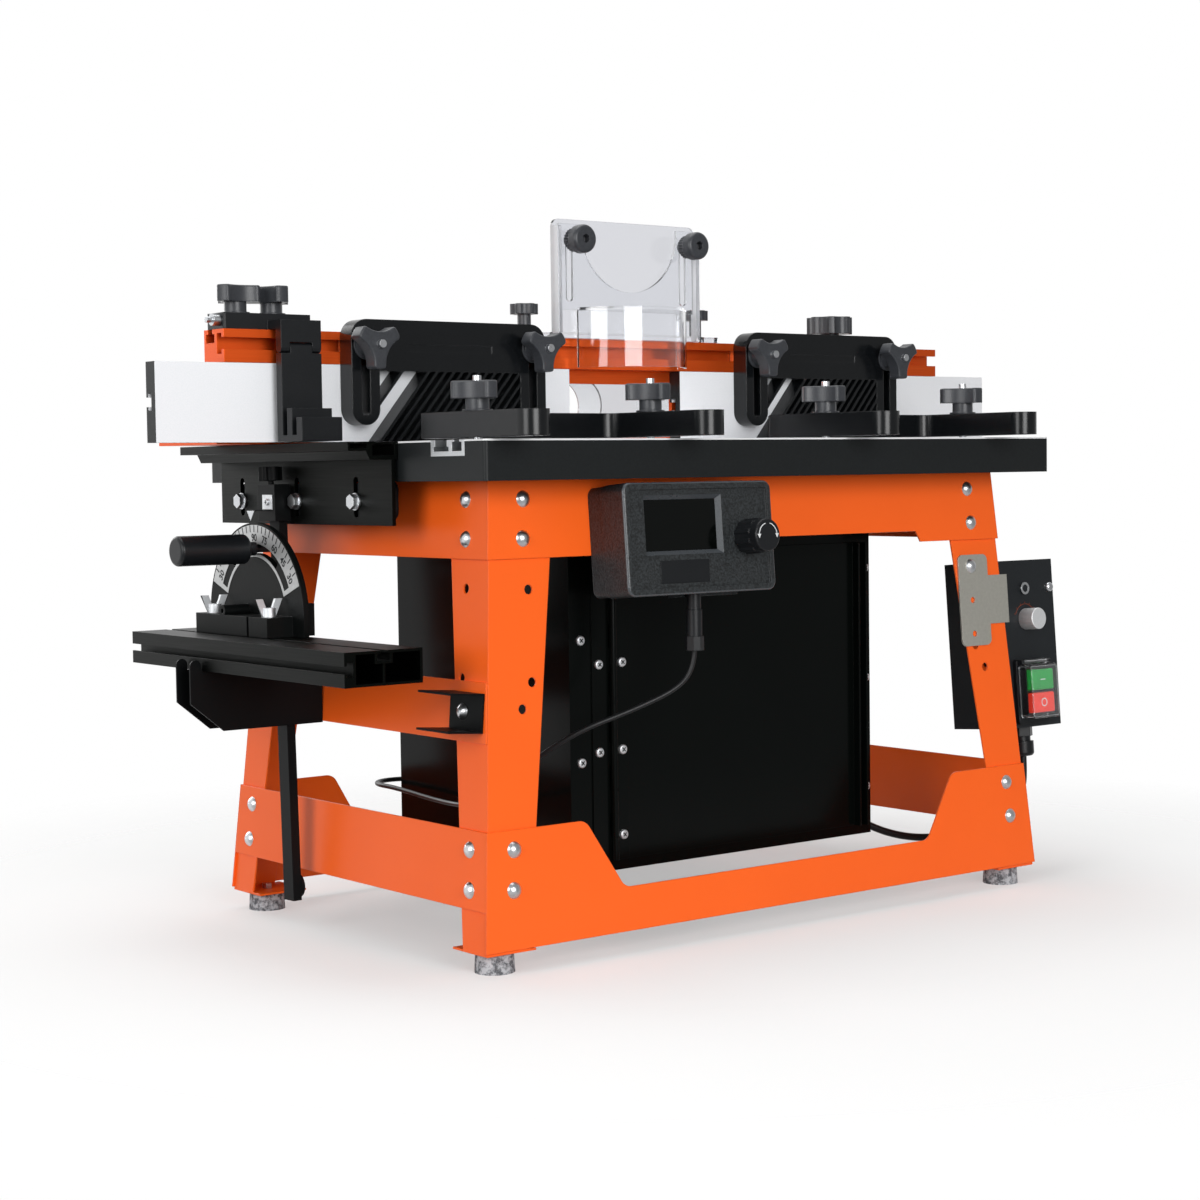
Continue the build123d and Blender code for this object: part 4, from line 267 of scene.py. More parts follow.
def moulded_plastic(name, colour, shade, roughness, grain, relief, edge, gleam):
    """Moulded plastic: one colour all through, with the fine even grain of a spark-eroded mould."""
    drift_size = 0.03
    sway = 0.06
    pits_low = 0.35
    pits_high = 0.65
    material, tree = new_material(name)
    place = node(tree, "ShaderNodeTexCoord").outputs["Object"]
    drift = node(tree, "ShaderNodeTexNoise", {"Vector": place, "Scale": 1 / drift_size, "Detail": 3.0})
    pits = node(tree, "ShaderNodeTexNoise", {"Vector": place, "Scale": 1 / grain, "Detail": 2.0})
    spread = node(tree, "ShaderNodeMapRange", {"Value": pits, "From Min": pits_low, "From Max": pits_high})
    tone = node(tree, "ShaderNodeMix", {"Factor_Float": spread, "A_Color": linear(shade),
                "B_Color": linear(colour)}, data_type="RGBA")
    corner = node(tree, "ShaderNodeBevel", {"Radius": edge}, samples=4)
    skin = node(tree, "ShaderNodeBump", {"Height": pits, "Distance": relief, "Normal": corner})
    gloss = node(tree, "ShaderNodeMapRange", {"Value": drift, "To Min": roughness - sway,
                 "To Max": roughness + sway})
    shader = node(tree, "ShaderNodeBsdfPrincipled", {"Base Color": tone, "Roughness": gloss,
                  "Specular IOR Level": gleam, "Normal": skin})
    node(tree, "ShaderNodeOutputMaterial", {"Surface": shader})
    return material


# Melamine laminate: white, flat and smooth, with a soft sheen
laminate = moulded_plastic("white_laminate", "EEEFF2", "E9EBEE",
                           roughness=0.42, grain=0.0012, relief=0.00002, edge=0.0004, gleam=0.4)

# Black edge strip: a thin satin band with a fine pressed grain, under the laminate's pale line
strip_grain = 0.002
edging, tree = new_material("black_edge_strip")
place = node(tree, "ShaderNodeTexCoord").outputs["Object"]
height = node(tree, "ShaderNodeSeparateXYZ", {"Vector": place}).outputs["Z"]
core = node(tree, "ShaderNodeMath", {"Value": height, "Value_001": table_high.z - laminate_thick},
            operation="GREATER_THAN")
grain = node(tree, "ShaderNodeTexNoise", {"Vector": place, "Scale": 1 / strip_grain, "Detail": 3.0})
strip = node(tree, "ShaderNodeMix", {"Factor_Float": grain, "A_Color": linear("131516"),
             "B_Color": linear("1D2021")}, data_type="RGBA")
tone = node(tree, "ShaderNodeMix", {"Factor_Float": core, "A_Color": strip,
            "B_Color": linear("E4E5E6")}, data_type="RGBA")
relief = node(tree, "ShaderNodeBump", {"Height": grain, "Distance": 0.00005})
shader = node(tree, "ShaderNodeBsdfPrincipled", {"Base Color": tone, "Roughness": 0.42,
              "Specular IOR Level": 0.2, "Normal": relief})
node(tree, "ShaderNodeOutputMaterial", {"Surface": shader})
dress(laminate, "table_top")
dress_faces(edging, "table_top", lambda middle, normal: normal.z < 0.5)


# Double track in the table
# One extruded aluminium bar with a T-slot and a mitre slot, screwed into a groove across the table.
def drawn_aluminium(name, colour, shade, roughness, along, metal):
    """Extruded aluminium: fine die lines along the bar that smear its shine."""
    line_size = 0.0012
    line_depth = 0.00002
    stretch = 0.02
    sway = 0.1
    edge_radius = 0.0006
    material, tree = new_material(name)
    place = node(tree, "ShaderNodeTexCoord").outputs["Object"]
    squeeze = [stretch if axis == along else 1.0 for axis in range(3)]
    lines = node(tree, "ShaderNodeMapping", {"Vector": place, "Scale": squeeze})
    die = node(tree, "ShaderNodeTexNoise", {"Vector": lines, "Scale": 1 / line_size, "Detail": 4.0})
    tone = node(tree, "ShaderNodeMix", {"Factor_Float": die, "A_Color": linear(colour),
                "B_Color": linear(shade)}, data_type="RGBA")
    shine = node(tree, "ShaderNodeMapRange", {"Value": die, "To Min": roughness - sway,
                 "To Max": roughness + sway})
    edge = node(tree, "ShaderNodeBevel", {"Radius": edge_radius}, samples=4)
    relief = node(tree, "ShaderNodeBump", {"Height": die, "Distance": line_depth, "Normal": edge})
    shader = node(tree, "ShaderNodeBsdfPrincipled", {"Base Color": tone, "Metallic": metal,
                  "Roughness": shine, "Normal": relief})
    node(tree, "ShaderNodeOutputMaterial", {"Surface": shader})
    return material


# Plain aluminium: a pale metal whose shine is drawn out along the bar
bright_aluminium = drawn_aluminium("extruded_aluminium", "DADCDD", "BFC2C5",
                                   roughness=0.34, along=0, metal=1.0)
dress(bright_aluminium, "table_track")


# Ring round the cutter
# A moulded ring of black plastic that drops into the table's hole and closes it round the cutter.

# Smooth black plastic: a soft, slightly wavy shine and rounded edges
smooth_plastic = moulded_plastic("smooth_black_plastic", "15171A", "101214",
                                 roughness=0.36, grain=0.0009, relief=0.00002, edge=0.0012, gleam=0.3)
dress(smooth_plastic, "insert_ring")


# Side rail
# A black anodised aluminium section along the table's left edge, with a T-slot and a mitre slot of its own.
# It hangs on three flanged bolts through upright slots in its lower web.

# Dyed anodic film: nearly black metal whose die lines only show where it catches a lamp
black_anodised = drawn_aluminium("black_anodised_aluminium", "131513", "0D0F0E",
                                 roughness=0.44, along=1, metal=1.0)
dress(black_anodised, "side_rail")


def at(x, y, z):
    """A place in millimetres from the table's front left top corner, as the frame has it in metres."""
    return Vector((table_low.x + x / 1000, table_low.y + y / 1000, table_high.z + z / 1000))


pad_bolt_places = [at(0, y, -57) for y in (205.7, 317, 427.4)]
pad_left = at(-4.2, 0, 0).x
pad_right = at(35.8, 0, 0).x
pad_half_width = 0.0085
pad_bolt_radius = 0.0046


def pad_face(middle, normal):
    """Whether a face lies on one of the black pads behind the rail's slots."""
    near = [bolt for bolt in pad_bolt_places if abs(middle.y - bolt.y) < pad_half_width]
    return bool(near) and pad_left < middle.x < pad_right and (
        math.hypot(middle.y - near[0].y, middle.z - near[0].z) > pad_bolt_radius)


dress_faces(smooth_plastic, "frame_bolts", pad_face)


# Storage bracket and clip
# Two small brackets of folded steel, coated black, on the left rail. They carry the mitre gauge.

# Black powder coat: deep black with a broad soft shine
black_powder = powder_coat("black_powder_coat", "0B0D0E", "08090A", roughness=0.44, peel=0.00003, gleam=0.1)
dress(black_powder, "storage_brackets")


# Tee-shaped bracket
# A flat stamped steel bracket on the right front leg, held by one domed screw.

# Dull zinc: a greyish metal with hardly any mirror in it
dull_plate = plated_steel("dull_zinc_plate", "CFCDC4", "B8B6AD", roughness=0.55)
dress(dull_plate, "tee_bracket")
tee_screw = at(680.89, 42.51, -140.6)
front_up = Vector((0, 0.0767, 0.9971))
front_out = Vector((1, 0, 0)).cross(front_up)
tee_screw_seat = 0.0003
dress_faces(zinc_plate, "tee_bracket", lambda middle, normal:
            (middle - tee_screw).dot(front_out) > tee_screw_seat)


# Enclosure under the table
# A box of folded sheet steel with a door on a piano hinge, held together by zinc pan screws.

# Gloss black enamel: almost black, with a clear but weak mirror of the room
gloss_black = powder_coat("gloss_black_enamel", "070A09", "050706", roughness=0.2, peel=0.00003, gleam=0.1)
dress(gloss_black, "enclosure_shell", "enclosure_door", "enclosure_hardware")
screw_head_radius = 0.0052
screw_head_height = 0.0028
screw_seat = 0.0001
shell_screws = [at(x, y, z) for x, y, z in (
    (185.5, 105, -198), (185.5, 105, -320), (207, 103.5, -223), (207, 103.5, -311),
    (579, 105, -140), (579, 105, -260), (579, 105, -380))]
door_screws = [at(235, 101.7, z) for z in (-222, -310, -396)]

# Pan screw zinc: duller than the bolts, so that the flat heads stay bright from every side
satin_zinc = plated_steel("satin_zinc_plate", "E6E8EA", "CDD0D3", roughness=0.5)
for screw_node, screws in (("enclosure_hardware", shell_screws), ("enclosure_door", door_screws)):
    dress_faces(satin_zinc, screw_node, lambda middle, normal: any(
        math.hypot(middle.x - screw.x, middle.z - screw.z) < screw_head_radius
        and middle.y < screw.y - screw_seat for screw in screws))

# The tree that sets a bar at each point, laid along one of the point's directions and facing the other
bars = bpy.data.node_groups.new("bars_on_points", "GeometryNodeTree")
bars.interface.new_socket("Geometry", in_out="INPUT", socket_type="NodeSocketGeometry")
bar_inputs = [bars.interface.new_socket(size, in_out="INPUT", socket_type="NodeSocketFloat").identifier
              for size in ("Length", "Width", "Thickness")]
bar_finish = bars.interface.new_socket("Finish", in_out="INPUT", socket_type="NodeSocketMaterial").identifier
bars.interface.new_socket("Geometry", in_out="OUTPUT", socket_type="NodeSocketGeometry")
given = node(bars, "NodeGroupInput")
bar_size = node(bars, "ShaderNodeCombineXYZ", {"X": given.outputs["Length"], "Y": given.outputs["Width"],
                "Z": given.outputs["Thickness"]})
bar = node(bars, "GeometryNodeMeshCube", {"Size": bar_size})
facing = node(bars, "GeometryNodeInputNamedAttribute", {"Name": "facing"}, data_type="FLOAT_VECTOR")
lying = node(bars, "GeometryNodeInputNamedAttribute", {"Name": "lying"}, data_type="FLOAT_VECTOR")
upright = node(bars, "FunctionNodeAlignRotationToVector", {"Vector": facing}, axis="Z")
turned = node(bars, "FunctionNodeAlignRotationToVector", {"Rotation": upright, "Vector": lying},
              axis="X", pivot_axis="Z")
standing = node(bars, "GeometryNodeInstanceOnPoints", {"Points": given.outputs["Geometry"], "Instance": bar,
                "Rotation": turned})
whole = node(bars, "GeometryNodeRealizeInstances", {"Geometry": standing})
finished = node(bars, "GeometryNodeSetMaterial", {"Geometry": whole, "Material": given.outputs["Finish"]})
node(bars, "NodeGroupOutput", {"Geometry": finished})


def lay_bars(name, spots, sizes, material, body):
    """Small bars of one size on a body: each spot is a place, the way it faces and the way it lies."""
    points = bpy.data.meshes.new(name)
    points.from_pydata([spot[0] for spot in spots], [], [])
    for key, which in (("facing", 1), ("lying", 2)):
        layer = points.attributes.new(key, "FLOAT_VECTOR", "POINT")
        for value, spot in zip(layer.data, spots):
            value.vector = spot[which]
    made = add_object(name, points)
    modifier = made.modifiers.new("bars", "NODES")
    modifier.node_group = bars
    for key, size in zip(bar_inputs, sizes):
        modifier[key] = size
    modifier[bar_finish] = material
    solid = bpy.data.meshes.new_from_object(made.evaluated_get(bpy.context.evaluated_depsgraph_get()))
    made.modifiers.clear()
    made.data = solid
    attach(made, body)
    return made


# Cross recess: painted shade, drawn as a thin dark cross on the screw's head
recess_length = 0.0052
recess_width = 0.0011
recess_thick = 0.0005
recess_painted_shade = plated_steel("screw_recess", "2C2D2F", "1E1F20", roughness=0.5)
recess_out = Vector((0, -1, 0))
recess_sink = 0.0001
recess_lift = recess_out * (screw_head_height - recess_sink)
for screw_body, screws in (("stand", shell_screws), ("door", door_screws)):
    lay_bars(screw_body + "_screw_recesses",
             [(screw + recess_lift, recess_out, lying) for screw in screws
              for lying in (Vector((1, 0, 1)).normalized(), Vector((1, 0, -1)).normalized())],
             (recess_length, recess_width, recess_thick), recess_painted_shade, screw_body)


# Control unit
# A two-part box of black plastic on the front rail, with a small screen and a fluted turning knob.
# Both halves are injection moulded with a fine grained skin, and the knob snaps on its shaft.

# Textured ABS: charcoal, with a sandy grain that breaks the light up. The real grain of about
# 0.4 mm is drawn five times as coarse, so that it shows.
unit_plastic = moulded_plastic("textured_black_abs", "2C3032", "0C0E0F",
                               roughness=0.42, grain=0.002, relief=0.0005, edge=0.0014, gleam=0.45)
dress(unit_plastic, "display_housing", "display_bezel")

# Smooth slopes of the same plastic round the face and the screen, painted lighter as a highlight
bevel_painted_highlight = moulded_plastic("black_abs_painted_highlight", "474B4F", "3D4145",
                                roughness=0.28, grain=0.0011, relief=0.00002, edge=0.0004, gleam=0.5)


def bevel_face(middle, normal):
    """Whether a face of the bezel slopes between its front and its sides, as the inner bevels do."""
    steepest = 0.3
    flattest = 0.9
    return steepest < normal.dot(front_out) < flattest


# The sloping faces of the bezel take the painted highlight
dress_faces(bevel_painted_highlight, "display_bezel", bevel_face)
dress(smooth_plastic, "encoder_knob")

# Screen glass: a black sheet that only shows what it mirrors, with faint smears
smear_size = 0.02
glass, tree = new_material("screen_glass")
place = node(tree, "ShaderNodeTexCoord").outputs["Object"]
smear = node(tree, "ShaderNodeTexNoise", {"Vector": place, "Scale": 1 / smear_size, "Detail": 3.0})
film = node(tree, "ShaderNodeMapRange", {"Value": smear, "To Min": 0.05, "To Max": 0.14})
dark = node(tree, "ShaderNodeMix", {"Factor_Float": smear, "A_Color": linear("020403"),
            "B_Color": linear("040605")}, data_type="RGBA")
shader = node(tree, "ShaderNodeBsdfPrincipled", {"Base Color": dark, "Roughness": film,
              "Specular IOR Level": 0.2})
node(tree, "ShaderNodeOutputMaterial", {"Surface": shader})
dress(glass, "display_screen")


def arc_outline(radius, width, start, end):
    """The outline of a band bent round the origin, from one angle in degrees to a larger one."""
    degrees_each = 6
    steps = max(2, round((end - start) / degrees_each))
    turns = [math.radians(start + (end - start) * step / steps) for step in range(steps + 1)]
    far = radius + width / 2
    near = radius - width / 2
    outer = [(far * math.cos(turn), far * math.sin(turn)) for turn in turns]
    inner = [(near * math.cos(turn), near * math.sin(turn)) for turn in turns]
    return outer + inner[::-1]


def oblong(left, low, right, high):
    """The outline of an oblong."""
    return [(left, low), (right, low), (right, high), (left, high)]


def flat_marks(name, outlines, origin, across, up, thick, material, body):
    """Thin marks on a flat face: outlines in millimetres from its origin, each given a little thickness."""
    out = across.cross(up)
    build = bmesh.new()
    for outline in outlines:
        low = [build.verts.new(origin + (across * u + up * v) / 1000) for u, v in outline]
        high = [build.verts.new(corner.co + out * thick) for corner in low]
        build.faces.new(low[::-1])
        build.faces.new(high)
        for first in range(len(low)):
            second = (first + 1) % len(low)
            build.faces.new((low[first], low[second], high[second], high[first]))
    mesh = bpy.data.meshes.new(name)
    build.to_mesh(mesh)
    build.free()
    mesh.materials.append(material)
    made = add_object(name, mesh)
    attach(made, body)
    return made


# White printing ink: a thin, matt, slightly uneven film
white_ink = moulded_plastic("white_printing_ink", "E2E4E4", "CFD2D3",
                            roughness=0.6, grain=0.0008, relief=0.00001, edge=0.0001, gleam=0.3)
unit_right = Vector((1, 0, 0))
encoder_middle = at(307, -8.28, -96.86)
encoder_reach = 0.0313
arrow_radius = 11.5
arrow_width = 0.9
arrow_starts = (104, 4)
arrow_sweep = 72
head_half = 2.4
head_back = 1.2
head_tip = -3
ink_thick = 0.0002
arrows = [arc_outline(arrow_radius, arrow_width, start, start + arrow_sweep) for start in arrow_starts]
for side in (-arrow_radius, arrow_radius):
    arrows.append([(side - head_half, head_back), (side, head_tip), (side + head_half, head_back)])
flat_marks("encoder_arrows", arrows, encoder_middle + front_out * encoder_reach, unit_right, front_up,
           ink_thick, white_ink, "encoder")

# A plain plate of smooth plastic let into the bezel under the screen
plate_outline = oblong(left=-112, low=-42, right=-51, high=-20)
plate_thick = 0.0004
flat_marks("bezel_plate", [plate_outline], encoder_middle, unit_right, front_up, plate_thick,
           smooth_plastic, "stand")


# Cables
# Two round cables in smooth black plastic sheath: the control unit's, which runs back under the table,
# and the motor's lead from the switch box to the enclosure. Each ends in a moulded fitting.
def cable(name, route, diameter):
    """A smooth round cable whose line takes the route's points as its control points."""
    curve = bpy.data.curves.new(name, "CURVE")
    curve.dimensions = "3D"
    spline = curve.splines.new("NURBS")
    spline.points.add(len(route) - 1)
    for point, place in zip(spline.points, route):
        point.co = (*place, 1)
    spline.order_u = 3
    spline.use_endpoint_u = True
    spline.resolution_u = 12
    curve.bevel_depth = diameter / 2
    curve.bevel_resolution = 6
    curve.use_fill_caps = True
    return add_object(name, curve)


# Soft sheath: black plastic with a low, slightly greasy shine
sheath = moulded_plastic("black_cable_sheath", "17181A", "111213",
                         roughness=0.4, grain=0.002, relief=0.00002, edge=0.0004, gleam=0.3)
dress(smooth_plastic, "cable_fittings")
display_route = (
    (-0.1225, -0.2124, 0.2943), (-0.1225, -0.2124, 0.2757), (-0.136, -0.206, 0.2536),
    (-0.179, -0.187, 0.2336), (-0.232, -0.161, 0.2136), (-0.269, -0.121, 0.1766),
    (-0.267, -0.065, 0.1436), (-0.246, -0.001, 0.1256), (-0.23, 0.073, 0.1206),
    (-0.225, 0.167, 0.1256), (-0.225, 0.2112, 0.1256), (-0.2066, 0.2296, 0.1256),
    (-0.1806, 0.2296, 0.1256), (-0.1622, 0.2112, 0.1256), (-0.1622, 0.1852, 0.1256),
)
lead_route = (
    (0.4143, -0.1573, 0.1456), (0.4143, -0.1599, 0.1117), (0.415, -0.154, 0.0906),
    (0.403, -0.12, 0.0546), (0.36, -0.073, 0.0336), (0.31, -0.039, 0.0416),
    (0.264, -0.012, 0.0726), (0.236, -0.003, 0.0866), (0.2062, -0.003, 0.0866),
)
for cable_name, route, diameter, length in (
    ("display_cable", display_route, 0.0052, 0.667),
    ("motor_lead", lead_route, 0.0084, 0.354),
):
    line = cable(cable_name + "_sheath", route, diameter)
    line.data.materials.append(sheath)
    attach(line, "stand")
    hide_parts(cable_name)


# Switch box
# A black moulded box on the right leg, with a flat panel, a clear hinged flap over two buttons,
# a small lamp, a dome screw and a metal speed knob.
def clear_plastic(name, tint, haze, mirror=0.5):
    """Clear acrylic: it bends and tints what is behind it, and its edges shine."""
    wave_size = 0.03
    sway = 0.05
    edge_radius = 0.0006
    material, tree = new_material(name)
    place = node(tree, "ShaderNodeTexCoord").outputs["Object"]
    wave = node(tree, "ShaderNodeTexNoise", {"Vector": place, "Scale": 1 / wave_size, "Detail": 2.0})
    film = node(tree, "ShaderNodeMapRange", {"Value": wave, "To Min": haze, "To Max": haze + sway})
    edge = node(tree, "ShaderNodeBevel", {"Radius": edge_radius}, samples=4)
    shader = node(tree, "ShaderNodeBsdfPrincipled", {"Base Color": linear(tint), "Roughness": film,
                  "Transmission Weight": 1.0, "IOR": 1.49, "Specular IOR Level": mirror,
                  "Normal": edge})
    node(tree, "ShaderNodeOutputMaterial", {"Surface": shader})
    return material


# Box plastic: black ABS with a smoother skin than the control unit's
box_plastic = moulded_plastic("black_abs", "1B1F22", "15181B",
                              roughness=0.44, grain=0.0011, relief=0.00003, edge=0.0012, gleam=0.3)
dress(box_plastic, "switch_box")
dress(smooth_plastic, "switch_base")

# Clear acrylic: hardly to be seen, apart from its bright edges
clear_acrylic = clear_plastic("clear_acrylic", "FAFBFC", haze=0.0, mirror=0.2)
dress(clear_acrylic, "switch_cover")

# Button plastic: full colour with a soft gloss
green_plastic = moulded_plastic("green_plastic", "14A846", "109C3F",
                                roughness=0.35, grain=0.001, relief=0.00002, edge=0.001, gleam=0.4)
dress(green_plastic, "start_button")
red_plastic = moulded_plastic("red_plastic", "FF4433", "F43A2A",
                              roughness=0.35, grain=0.001, relief=0.00002, edge=0.001, gleam=0.4)
dress(red_plastic, "stop_button")

# Satin chrome: a bright, slightly milky metal
satin_chrome = plated_steel("satin_chrome", "F2F3F4", "E2E4E5", roughness=0.6)
dress(satin_chrome, "speed_knob")
lamp_middle = at(784.77, 58.54, -170)
lamp_front = 0.0019
lamp_ring_thick = 0.0005
dome_right = 0.0415
dome_middle = lamp_middle + unit_right * dome_right
dome_radius = 0.007
dome_low = 0.0002


def dome_face(middle, normal):
    """Whether a face lies on the dome screw that holds the panel."""
    away = middle - dome_middle
    height = away.dot(front_out)
    return height > dome_low and (away - front_out * height).length < dome_radius


def ring_halves(radius, width):
    """The outlines of a ring's two halves."""
    return [arc_outline(radius, width, start, start + 180) for start in (0, 180)]


dress_faces(zinc_plate, "switch_box", dome_face)
flat_marks("lamp_ring", ring_halves(radius=5.6, width=2.6), lamp_middle + front_out * lamp_front,
           unit_right, front_up, lamp_ring_thick, zinc_plate, "stand")

# Orange printing ink of the speed scale: a dull thin film
orange_ink = moulded_plastic("orange_printing_ink", "8E4126", "7C3820",
                             roughness=0.6, grain=0.0008, relief=0.00001, edge=0.0001, gleam=0.3)
speed_middle = at(784.77, 55.88, -204.5)
speed_scale_start = 42
speed_scale_end = 160
speed_scale_radius = 17
speed_scale_width = 0.6
speed_tick_radius = 0.0186
speed_tick_length = 0.0016
speed_tick_width = 0.0006
speed_tick_count = 6
speed_step = (speed_scale_end - speed_scale_start) / (speed_tick_count - 1)
speed_arc = arc_outline(speed_scale_radius, speed_scale_width, speed_scale_start, speed_scale_end)
flat_marks("speed_scale", [speed_arc], speed_middle, unit_right, front_up, ink_thick, orange_ink, "stand")
speed_ticks = []
for step in range(speed_tick_count):
    turn = math.radians(speed_scale_end - step * speed_step)
    outwards = unit_right * math.cos(turn) + front_up * math.sin(turn)
    tick_place = speed_middle + outwards * speed_tick_radius + front_out * ink_thick / 2
    speed_ticks.append((tick_place, front_out, outwards))
lay_bars("speed_ticks", speed_ticks, (speed_tick_length, speed_tick_width, ink_thick), orange_ink, "stand")

# Marks on the buttons: a white bar for start and a white ring for stop
button_reach = 0.0195
button_middle = at(784.77, 49.61, -286) + front_out * button_reach
start_up = 0.013
stop_down = 0.01275
button_ink_thick = 0.0003
start_bar = oblong(left=-4, low=-0.6, right=4, high=0.6)
stop_ring = ring_halves(radius=4.2, width=1.1)
flat_marks("start_mark", [start_bar], button_middle + front_up * start_up, unit_right, front_up,
           button_ink_thick, white_ink, "start")
flat_marks("stop_mark", stop_ring, button_middle - front_up * stop_down, unit_right, front_up,
           button_ink_thick, white_ink, "stop")


# Router and its lift
# A motor in a cast carriage on two ground columns, raised by a screw, inside the enclosure.

# Cast alloy: a grey metal with the blotchy dull shine of a blasted casting
cast_alloy = plated_steel("cast_alloy", "A9ABAD", "909396", roughness=0.5)
dress(cast_alloy, "router_motor", "lift_frame")
dress(zinc_plate, "router_spindle", "lift_screw")


# Fence
# A long extrusion of orange anodised aluminium with T-slots, two white faced boards with black edges,
# and the knobs that lock it to the table.

# Orange dyed anodic film: a coppery metal, deep in its grooves and bright along the die lines
orange_anodised = drawn_aluminium("orange_anodised_aluminium", "F0601C", "DC5012",
                                  roughness=0.4, along=0, metal=0.75)
dress(orange_anodised, "fence_extrusion")
dress(laminate, "fence_face_left", "fence_face_right")

# Fence edge: the boards' black edge strip, without the table's pale line
fence_edge = moulded_plastic("black_board_edge", "17191A", "202324",
                             roughness=0.42, grain=0.002, relief=0.00004, edge=0.0006, gleam=0.2)
for face_name in ("fence_face_left", "fence_face_right"):
    dress_faces(fence_edge, face_name, lambda middle, normal: abs(normal.y) < 0.5)

# Knob nylon: charcoal, with a broad satin shine on its rounded edges
knob_nylon = moulded_plastic("charcoal_nylon", "3B3D41", "313337",
                             roughness=0.34, grain=0.0012, relief=0.00003, edge=0.0016, gleam=0.4)
dress(knob_nylon, "fence_fittings", "fence_lock_knobs")
fence_top = at(0, 0, 110.9).z
dress_faces(zinc_plate, "fence_fittings", lambda middle, normal: middle.z < fence_top)


# Dust hood
# A moulded hood of translucent plastic behind the gap in the fence, with a round port for a hose.

# Smoky clear plastic: pale and a little milky, so that what is behind only shows as soft shapes
smoky_plastic = clear_plastic("smoky_clear_plastic", "D8DADE", haze=0.2)
dress(smoky_plastic, "dust_hood")


# Guard over the cutter
# A bent plate of clear plastic on the fence's top and a clear shield that slides on it, held by two knobs.

# Moulded clear plastic: each sheet greys the white behind it a little
guard_plastic = clear_plastic("clear_guard_plastic", "DCDDE2", haze=0.03)
shield_plastic = clear_plastic("clear_shield_plastic", "F5F6F8", haze=0.03)
dress(guard_plastic, "guard_base")
dress(shield_plastic, "guard_shield")

# Sawn and moulded edges: frosted, so they gather light and show as pale lines
scratch_size = 0.0012
frosted, tree = new_material("frosted_plastic_edge")
place = node(tree, "ShaderNodeTexCoord").outputs["Object"]
scratch = node(tree, "ShaderNodeTexNoise", {"Vector": place, "Scale": 1 / scratch_size, "Detail": 3.0})
tone = node(tree, "ShaderNodeMix", {"Factor_Float": scratch, "A_Color": linear("E6E8EB"),
            "B_Color": linear("F6F7F9")}, data_type="RGBA")
shader = node(tree, "ShaderNodeBsdfPrincipled", {"Base Color": tone, "Roughness": 0.5,
              "Transmission Weight": 0.4, "IOR": 1.49})
node(tree, "ShaderNodeOutputMaterial", {"Surface": shader})
guard_ledge = at(0, 0, 150).z
for guard_name in ("guard_base", "guard_shield"):
    dress_faces(frosted, guard_name, lambda middle, normal: abs(normal.x) > 0.9 and middle.z > guard_ledge)
dress(knob_nylon, "guard_knob_left", "guard_knob_right")


# Flip stop
# A moulded black block on the fence with a hinged arm, two clamp knobs, and a zinc screw at its end.
dress(smooth_plastic, "stop_block", "stop_arm")
dress(knob_nylon, "stop_knobs")
stop_left = at(-98.5, 0, 0).x
stop_screw_top = at(0, 0, 126).z
dress_faces(zinc_plate, "stop_knobs",
            lambda middle, normal: middle.x < stop_left and middle.z < stop_screw_top)


# Featherboards and their knobs
# Boards of moulded nylon with springy fins. Three-lobed knobs on zinc plated studs clamp them to the
# slots of the fence and the table.

# Satin black nylon: black with a wide soft highlight
board_plastic = moulded_plastic("satin_black_nylon", "0F1113", "0B0D0F",
                                roughness=0.2, grain=0.0016, relief=0.00002, edge=0.0016, gleam=0.35)
dress(board_plastic, "fence_featherboard_left", "fence_featherboard_right",
      "table_featherboard_left", "table_featherboard_right")
stud_radius = 0.0042
fence_stud_height = 97
table_stud_depth = 44.5
stud_columns = ((32.75, 24), (238.75, 230), (553.25, 465), (759.25, 671))
for knob_number, (fence_x, table_x) in enumerate(stud_columns, 1):
    on_fence = at(fence_x, 0, fence_stud_height)
    on_table = at(table_x, table_stud_depth, 0)
    dress(knob_nylon, "fence_knob_%d" % knob_number, "table_knob_%d" % knob_number)
    dress_faces(zinc_plate, "fence_knob_%d" % knob_number, lambda middle, normal:
                math.hypot(middle.x - on_fence.x, middle.z - on_fence.z) < stud_radius)
    dress_faces(zinc_plate, "table_knob_%d" % knob_number, lambda middle, normal:
                math.hypot(middle.x - on_table.x, middle.y - on_table.y) < stud_radius)


# Mitre gauge
# A cast half-round head with a scale, a steel bar with a pointer block, a fence extrusion and a twist
# handle. It hangs in its brackets under the side rail, head outwards.

# Black casting paint: a black film over fine sand marks
black_casting = powder_coat("painted_casting", "0B0D0D", "080A0A", roughness=0.4, peel=0.0001, gleam=0.1)
dress(black_casting, "gauge_head")
dress(black_powder, "gauge_bar")
dress(smooth_plastic, "gauge_handle")
dress(black_anodised, "gauge_fence")
pivot = at(-45, 340, -172)
wing_low = at(0, 0, -169.6).z
wing_side = 0.04
wing_near = pivot.x - 0.0005
wing_far = pivot.x - 0.0285
dress_faces(satin_zinc, "gauge_head", lambda middle, normal:
            middle.z > wing_low and abs(middle.y - pivot.y) > wing_side and wing_far < middle.x < wing_near)


def digits(words, height, place, across, up, thick):
    """The mesh of a number, upright on a face."""
    capital_share = 0.7
    stroke_share = 1 / 40
    letters = bpy.data.curves.new("number", "FONT")
    letters.body = words
    letters.size = height / capital_share
    letters.align_x = "CENTER"
    letters.align_y = "CENTER"
    letters.extrude = thick / 2
    letters.offset = height * stroke_share
    letters.resolution_u = 3
    holder = bpy.data.objects.new("number", letters)
    mesh = bpy.data.meshes.new_from_object(holder)
    bpy.data.objects.remove(holder)
    turn = Matrix((across, up, across.cross(up))).transposed().to_4x4()
    turn.translation = place
    mesh.transform(turn)
    return mesh


